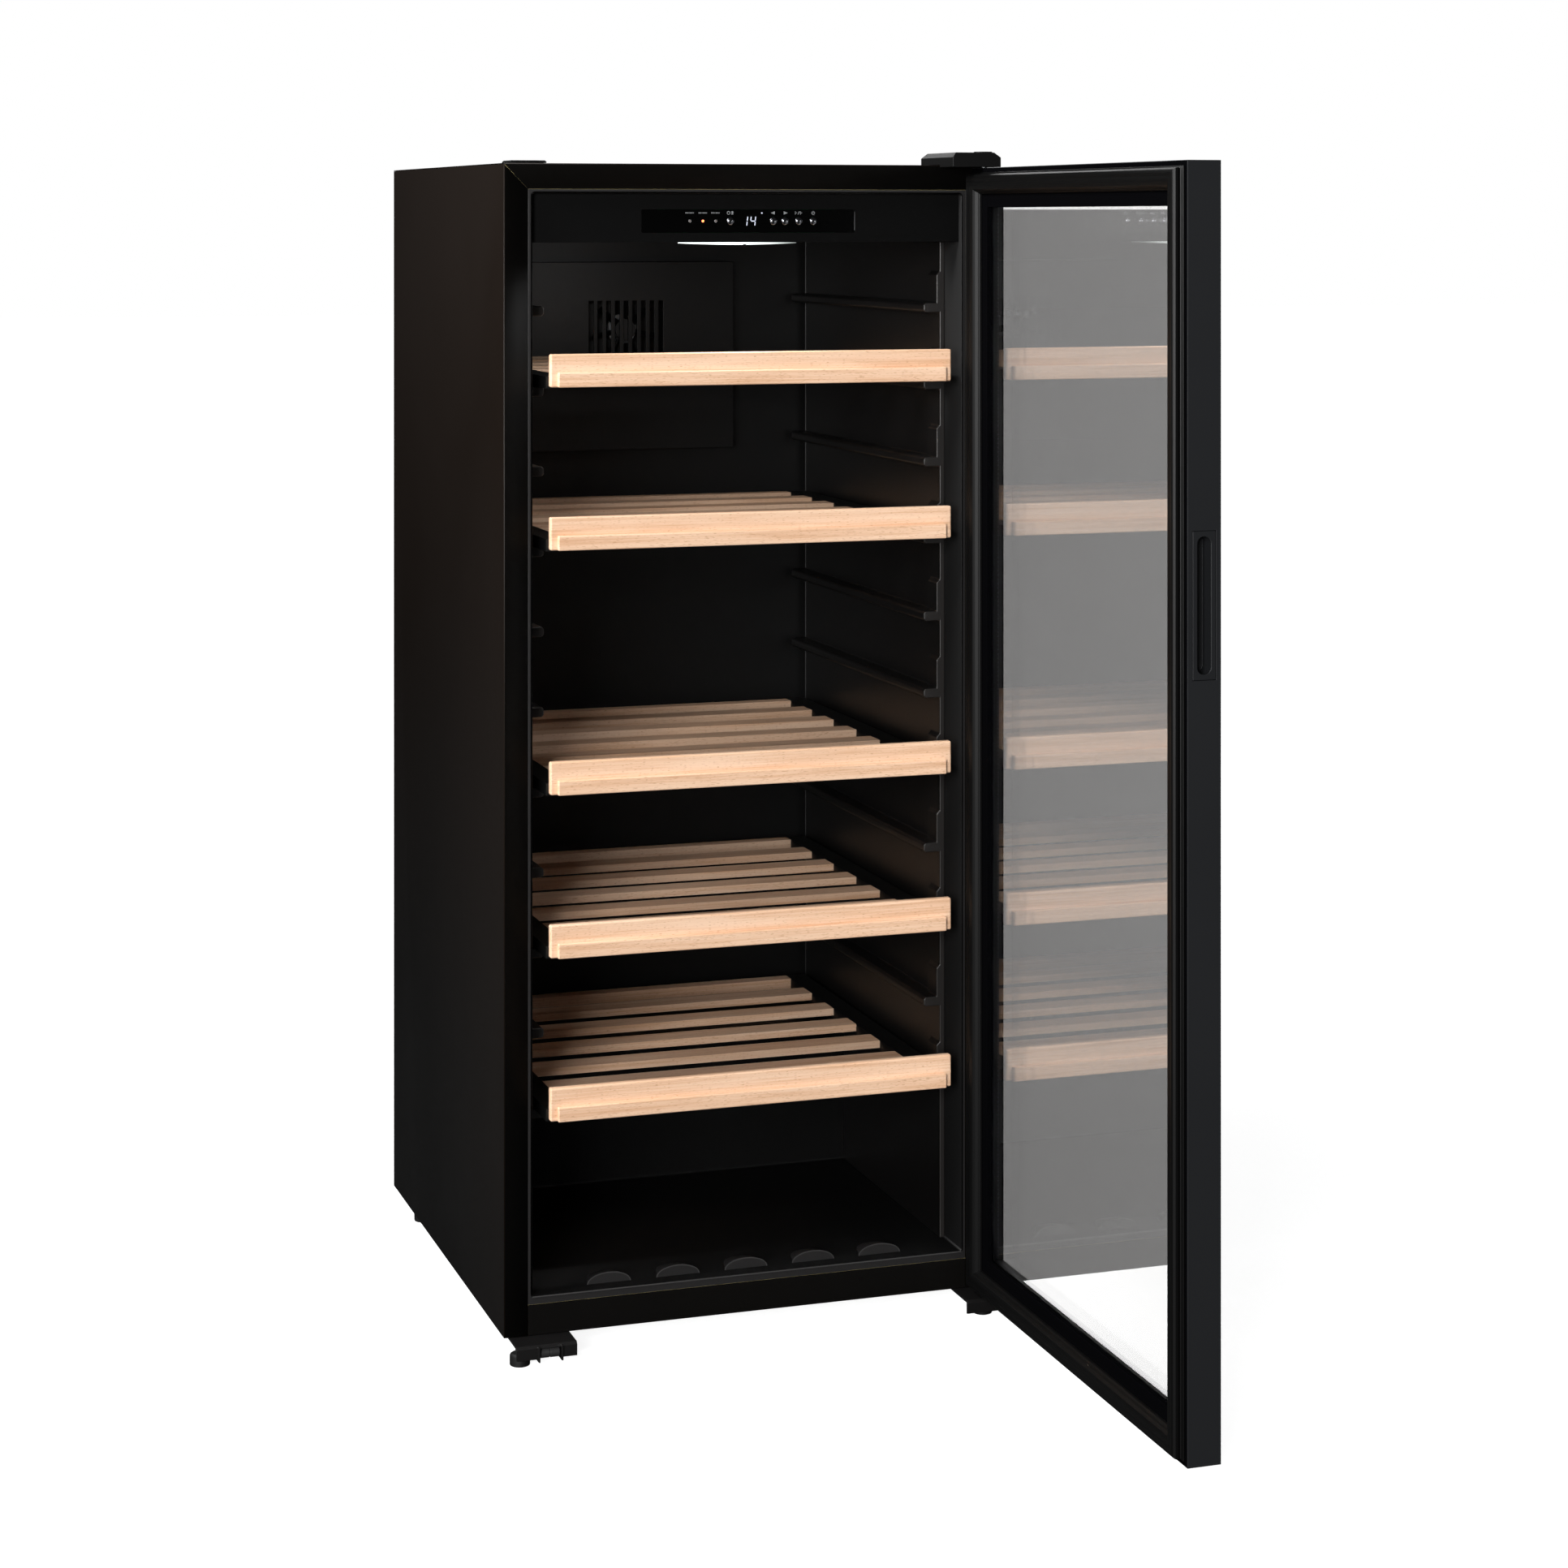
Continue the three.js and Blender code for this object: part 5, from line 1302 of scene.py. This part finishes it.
# ---------- door ----------
@dataclass
class Door:
    """The glass door, drawn as it stands open at a right angle."""

    hole_pitch_mm: float = 5.2
    hole_mm: float = 1.5
    hole_proud_mm: float = 0.15
    spacer_mm: float = 7.7
    edge_mm: float = 1.5
    seal_outline: tuple[tuple[float, float], ...] = (
        (5.5, 0.1), (5.5, 2.2), (7.4, 3.0), (8.6, 4.6), (7.6, 6.2), (7.9, 9.6), (9.6, 12.2), (12.8, 13.0),
        (16.0, 12.2), (18.6, 12.7), (22.0, 12.4), (25.6, 10.6), (28.2, 7.6), (29.4, 4.8), (30.9, 3.4),
        (31.4, 0.1),
    )

    def corner(self) -> tuple[Vector, Vector]:
        """The closed frame's lowest and highest corners."""
        return box_union("door_stile_hinge", "door_stile_handle")

    def is_inner(self, middle: Vector, normal: Vector) -> bool:
        """Tells whether a frame face is on the inner side or round the glass, where it is black.

        Args:
            middle: the face's middle.
            normal: its normal.

        Returns:
            Whether the face is lined in black.
        """
        low, high = self.corner()
        near = self.edge_mm * MM
        outer = middle.x > (low.x + high.x) / 2 + near and normal.x > 0.2
        edge = min(middle.y - low.y, high.y - middle.y, middle.z - low.z, high.z - middle.z) < near
        return not (outer or edge)

    def ring(self, points: list[tuple[float, float]]) -> Shape:
        """Runs a closed outline round the door, mitred at its corners.

        Args:
            points: each point as the distance in from the door's edges and the place in X, in metres.

        Returns:
            The ring's shape.
        """
        low, high = self.corner()
        shape = bmesh.new()
        loops = []
        for far_y, far_z in ((False, False), (True, False), (True, True), (False, True)):
            verts = []
            for inset, x in points:
                y = high.y - inset if far_y else low.y + inset
                z = high.z - inset if far_z else low.z + inset
                verts.append(shape.verts.new((x, y, z)))
            loops.append([shape.edges.new(pair) for pair in zip(verts, verts[1:] + verts[:1])])
        for a, b in zip(loops, loops[1:] + loops[:1]):
            bmesh.ops.bridge_loops(shape, edges=[*a, *b])
        bmesh.ops.recalc_face_normals(shape, faces=shape.faces)
        return shape

    def gasket(self) -> None:
        """Extrudes the bellows gasket round the door."""
        face = self.corner()[0].x
        shape = self.ring([(inset * MM, face - height * MM) for inset, height in self.seal_outline])
        soften(shape, 0.6, 2, 14.0, keep=lambda e: e.calc_length() > 0.2)
        make("door_gasket_bellows", shape, GASKET_VINYL, Body.DOOR, "door_gasket", sharp=50.0)

    def pane(self, node: str, finish: Finish) -> None:
        """Cuts one pane with ground edges.

        Args:
            node: the CAD node that the pane stands for.
            finish: its glass.
        """
        low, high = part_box(node)
        shape = bmesh.new()
        cuboid(shape, low, high)
        soften(shape, 0.5, 1, 60.0)
        make(f"{node}_pane", shape, finish, Body.DOOR, node)

    def spacer(self) -> None:
        """Folds the black spacer bar between the panes, with its row of small holes."""
        low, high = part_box("glass_spacer")
        inset = low.y - self.corner()[0].y
        width = self.spacer_mm * MM
        bar = self.ring([(inset, low.x), (inset, high.x), (inset + width, high.x), (inset + width, low.x)])
        make("glass_spacer_bar", bar, SPACER_BLACK, Body.DOOR, "glass_spacer")
        holes = bmesh.new()
        middle, radius, pitch = (low.x + high.x) / 2, self.hole_mm * MM / 2, self.hole_pitch_mm * MM
        near, far = low.y + width, high.y - width
        bottom, top = low.z + width, high.z - width
        upright = Matrix.Rotation(math.pi / 2, 4, "X")
        rows = [(Vector((middle, y, bottom)), Z, top - bottom, upright) for y in (near, far)]
        rows += [(Vector((middle, near, z)), Y, far - near, Matrix.Identity(4)) for z in (bottom, top)]
        for start, along, length, turn in rows:
            for i in range(1, int(length / pitch)):
                spot = Matrix.Translation(start + along * (i * pitch)) @ turn
                bmesh.ops.create_circle(holes, cap_ends=True, segments=8, radius=radius, matrix=spot)
        thin = bmesh.ops.extrude_face_region(holes, geom=holes.faces[:])
        bmesh.ops.recalc_face_normals(holes, faces=holes.faces)
        for face in [g for g in thin["geom"] if isinstance(g, bmesh.types.BMFace)]:
            bmesh.ops.translate(holes, verts=face.verts, vec=face.normal * (self.hole_proud_mm * MM))
        make("glass_spacer_holes", holes, SPACER_HOLES, Body.DOOR)

    def build(self) -> None:
        """Builds the door."""
        for node in ("door_stile_hinge", "door_stile_handle", "door_rail_top", "door_rail_bottom"):
            bar = rounded(node, FRAME_PAINT, Body.DOOR, 0.8, 2)
            second_finish(bar, FRAME_BLACK, self.is_inner)
        rounded("handle_insert", GRIP_ABS, Body.DOOR, 0.7, 3)
        self.pane("inner_glass", CLEAR_GLASS)
        self.pane("outer_glass", TINTED_GLASS)
        self.spacer()
        self.gasket()


# ---------- feet, brackets and hinges ----------
@dataclass
class Hardware:
    """The hinge covers, brackets, roller and feet."""

    foot_height_mm: float = 14.0
    foot_radius_mm: float = 11.8
    stem_radius_mm: float = 4.6
    thread_pitch_mm: float = 1.25

    def foot(self, node: str, body: Body) -> None:
        """Turns one levelling foot with its pad and threaded stem.

        Args:
            node: the CAD node that the foot stands for.
            body: the body it rides on.
        """
        low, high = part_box(node)
        centre = Vector(((low.x + high.x) / 2, (low.y + high.y) / 2, low.z))
        r, h = self.foot_radius_mm, self.foot_height_mm
        top = (high.z - low.z) / MM
        outline = [(0, 0), (r - 1.5, 0), (r - 0.4, 0.5), (r, 1.6)]
        outline += [(r, h - 3), (r - 0.8, h - 1.2), (r - 2.6, h), (6.2, h), (6.2, h + 0.8)]
        root, crest, pitch = self.stem_radius_mm, self.stem_radius_mm + 0.7, self.thread_pitch_mm
        z = h + 0.8
        while z + pitch < top:
            outline += [(root, z + 0.3), (crest, z + 0.62), (root, z + 0.95)]
            z += pitch
        outline += [(root, top), (0, top)]
        make(f"{node}_turned", turned(outline, centre, Z, 40), FOOT_RUBBER, body, node)

    def roller(self) -> None:
        """Turns the roller with its axle."""
        low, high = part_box("roller_left")
        centre = Vector((low.x, (low.y + high.y) / 2, (low.z + high.z) / 2))
        span, r = (high.x - low.x) / MM, (high.z - low.z) / 2 / MM
        outline = [(0, 0), (1.5, 0), (1.5, 4), (r - 1, 4), (r, 5), (r, span / 2 - 1), (r - 0.8, span / 2)]
        outline += [(radius, span - height) for radius, height in reversed(outline[:-1])]
        make("roller_left_turned", turned(outline, centre, X, 36), ROLLER_NYLON, Body.ROLLER, "roller_left")

    def build(self) -> None:
        """Builds the hardware."""
        rounded("hinge_cover_top", BLACK_ABS, Body.CABINET, 1.2, 3)
        rounded("hinge_hole_cap", BLACK_ABS, Body.CABINET, 0.5, 2)
        rounded("hinge_bracket_bottom", BRACKET_PAINT, Body.CABINET, 0.5, 2)
        rounded("roller_bracket_left", BRACKET_PAINT, Body.CABINET, 0.4, 2)
        dress(ZINC, "hinge_plate_top")
        self.roller()
        for node, body in (
            ("foot_front_left", Body.LEFT_FOOT), ("foot_front_right", Body.RIGHT_FOOT),
            ("foot_rear_left", Body.CABINET), ("foot_rear_right", Body.CABINET),
        ):
            self.foot(node, body)


# ---------- cooling parts ----------
@dataclass
class Cooling:
    """The air cover with its fan, and the parts in the machine bay."""

    def build(self) -> None:
        """Builds the cooling parts."""
        rounded("fan_cover", LINER_ABS, Body.CABINET, 0.8)
        rounded("fan_rotor", LINER_ABS, Body.FAN, 0.3)
        dress(ALUMINIUM, "evaporator")
        dress(ZINC, "fan_motor")
        dress(COMPRESSOR_PAINT, "compressor")
        dress(COPPER, "condenser", "filter_drier")
        rounded("drip_tray", BLACK_ABS, Body.CABINET, 0.5)
        rounded("mains_inlet", BLACK_ABS, Body.CABINET, 0.5)


# ---------- studio ----------
@dataclass(frozen=True)
class Softbox:
    """One square soft light, with its places and size in metres and its power in watts."""

    name: str
    at: tuple[float, float, float]
    aim: tuple[float, float, float]
    size: float
    watts: float

    def hang(self) -> None:
        """Hangs the light, facing its aim."""
        data = bpy.data.lights.new(self.name, "AREA")
        data.size, data.energy = self.size, self.watts
        light = bpy.data.objects.new(self.name, data)
        light.location = self.at
        light.rotation_mode = "QUATERNION"
        light.rotation_quaternion = (Vector(self.aim) - Vector(self.at)).to_track_quat("-Z", "Y")
        bpy.context.scene.collection.objects.link(light)


@dataclass
class Studio:
    """The camera, the floor and the soft lights."""

    camera_at: tuple[float, float, float] = (-1.1724, -3.6497, 1.3071)
    camera_yaw: float = 18.365
    lens: float = 75.02
    shift: tuple[float, float] = (0.0005, -0.3608)
    room_light: float = 0.03
    mirrored_floor: tuple[float, float] = (0.6, 4.5)
    bright_from: tuple[float, float] = (-1.1, -0.6)
    pool: tuple[float, float] = (1.0, 2.6)
    pool_light: tuple[float, float] = (0.9, 1.0)
    floor_half: float = 40.0
    lit_tone: str = "#3a3a3a"
    seen_tone: str = "#bcbcbc"
    softboxes: tuple[Softbox, ...] = (
        Softbox("key", (-3.0, -4.6, 1.7), (0, 0, 0.7), 2.0, 345),
        Softbox("overhead", (-2.6, -0.2, 3.0), (-0.3, 0.2, 1.3), 1.4, 190),
        Softbox("rear", (1.5, 4.5, 2.5), (0, 0, 0.7), 2.5, 60),
    )
    cabin_size: float = 0.12
    cabin_watts: float = 0.8

    def front(self) -> Vector:
        """The middle of the case's front, on the floor."""
        low, high = box_union("side_panel_left", "side_panel_right")
        return Vector(((low.x + high.x) / 2, low.y, 0))

    def camera(self) -> None:
        """Sets the camera level, at eye height, with a falling front."""
        data = bpy.data.cameras.new("camera")
        data.lens = self.lens
        data.sensor_width = 36.0
        data.shift_x, data.shift_y = self.shift
        data.clip_end = 100.0
        camera = bpy.data.objects.new("camera", data)
        camera.location = self.front() + Vector(self.camera_at)
        camera.rotation_euler = (math.pi / 2, 0.0, -math.radians(self.camera_yaw))
        bpy.context.scene.collection.objects.link(camera)
        bpy.context.scene.camera = camera

    def floor(self) -> None:
        """Lays the plain pale floor: backlit white, with a soft shadow round the object.

        It glows for the eye, and more for the door's glass, which mirrors the floor behind it.
        Diffuse light from it stays low, so that the case keeps its dark side.
        """
        shape = bmesh.new()
        bmesh.ops.create_grid(shape, x_segments=1, y_segments=1, size=self.floor_half)
        mesh = bpy.data.meshes.new("floor")
        shape.to_mesh(mesh)
        shape.free()
        floor = bpy.data.objects.new("floor", mesh)
        bpy.context.scene.collection.objects.link(floor)
        pale = bpy.data.materials.new("backlit_floor")
        pale.use_nodes = True
        tree = pale.node_tree
        surface = tree.nodes["Principled BSDF"]
        ray = add(tree, "ShaderNodeLightPath")
        place = add(tree, "ShaderNodeTexCoord").outputs["Object"]
        away = add(tree, "ShaderNodeVectorMath", {0: place}, operation="LENGTH")
        glow = add(tree, "ShaderNodeMapRange", {
            "Value": away.outputs["Value"], "From Min": self.pool[0], "From Max": self.pool[1],
            "To Min": self.pool_light[0], "To Max": self.pool_light[1],
        })
        through = add(tree, "ShaderNodeMath", {
            0: ray.outputs["Is Camera Ray"], 1: ray.outputs["Is Transmission Ray"],
        }, operation="MAXIMUM")
        seen = add(tree, "ShaderNodeMath", {
            0: through.outputs[0], 1: glow.outputs["Result"],
        }, operation="MULTIPLY")
        sharp = add(tree, "ShaderNodeMath", {
            0: ray.outputs["Is Singular Ray"], 1: ray.outputs["Is Transmission Ray"],
        }, operation="SUBTRACT", use_clamp=True)
        across = add(tree, "ShaderNodeSeparateXYZ", {0: place})
        behind = add(tree, "ShaderNodeMapRange", {
            "Value": across.outputs["Y"], "From Min": self.bright_from[0], "From Max": self.bright_from[1],
            "To Min": self.mirrored_floor[0], "To Max": self.mirrored_floor[1],
        })
        mirrored = add(tree, "ShaderNodeMath", {
            0: sharp.outputs[0], 1: behind.outputs["Result"],
        }, operation="MULTIPLY")
        total = add(tree, "ShaderNodeMath", {0: seen.outputs[0], 1: mirrored.outputs[0]}, operation="MAXIMUM")
        tone = add(tree, "ShaderNodeMixRGB", {
            "Fac": ray.outputs["Is Camera Ray"],
            "Color1": linear(self.lit_tone), "Color2": linear(self.seen_tone),
        })
        tree.links.new(tone.outputs["Color"], surface.inputs["Base Color"])
        tree.links.new(total.outputs[0], surface.inputs["Emission Strength"])
        surface.inputs["Emission Color"].default_value = linear("#ffffff")
        surface.inputs["Roughness"].default_value = 1.0
        surface.inputs["Specular IOR Level"].default_value = 0.0
        mesh.materials.append(pale)

    def world(self) -> None:
        """Lights the room softly and shows it white behind the object and through its glass."""
        world = bpy.data.worlds.new("studio")
        bpy.context.scene.world = world
        world.use_nodes = True
        tree = world.node_tree
        ray = add(tree, "ShaderNodeLightPath")
        seen = add(tree, "ShaderNodeMath", {
            0: ray.outputs["Is Camera Ray"], 1: ray.outputs["Is Transmission Ray"],
        }, operation="MAXIMUM")
        level = add(tree, "ShaderNodeMapRange", {
            "Value": seen.outputs[0], "To Min": self.room_light, "To Max": 1.0,
        })
        tree.links.new(level.outputs["Result"], tree.nodes["Background"].inputs["Strength"])
        tree.nodes["Background"].inputs["Color"].default_value = (1.0, 1.0, 1.0, 1.0)

    def build(self) -> None:
        """Sets the studio up."""
        bpy.context.scene.view_settings.view_transform = "Standard"
        self.camera()
        self.world()
        self.floor()
        for softbox in self.softboxes:
            softbox.hang()
        low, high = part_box("lamp_lens")
        middle = (low + high) / 2
        at = (middle.x, middle.y + 0.02, low.z - 0.004)
        aim = (middle.x, middle.y + 0.18, low.z - 0.5)
        Softbox("cabin_lamp", at, aim, self.cabin_size, self.cabin_watts).hang()


def main() -> None:
    """Builds the studio and every sub-assembly of the cooler."""
    Studio().build()
    Case().build()
    Liner().build()
    ControlPanel().build()
    for number in range(1, 6):
        Shelf(number).build()
    Door().build()
    Hardware().build()
    Cooling().build()


if __name__ == "__main__":
    main()
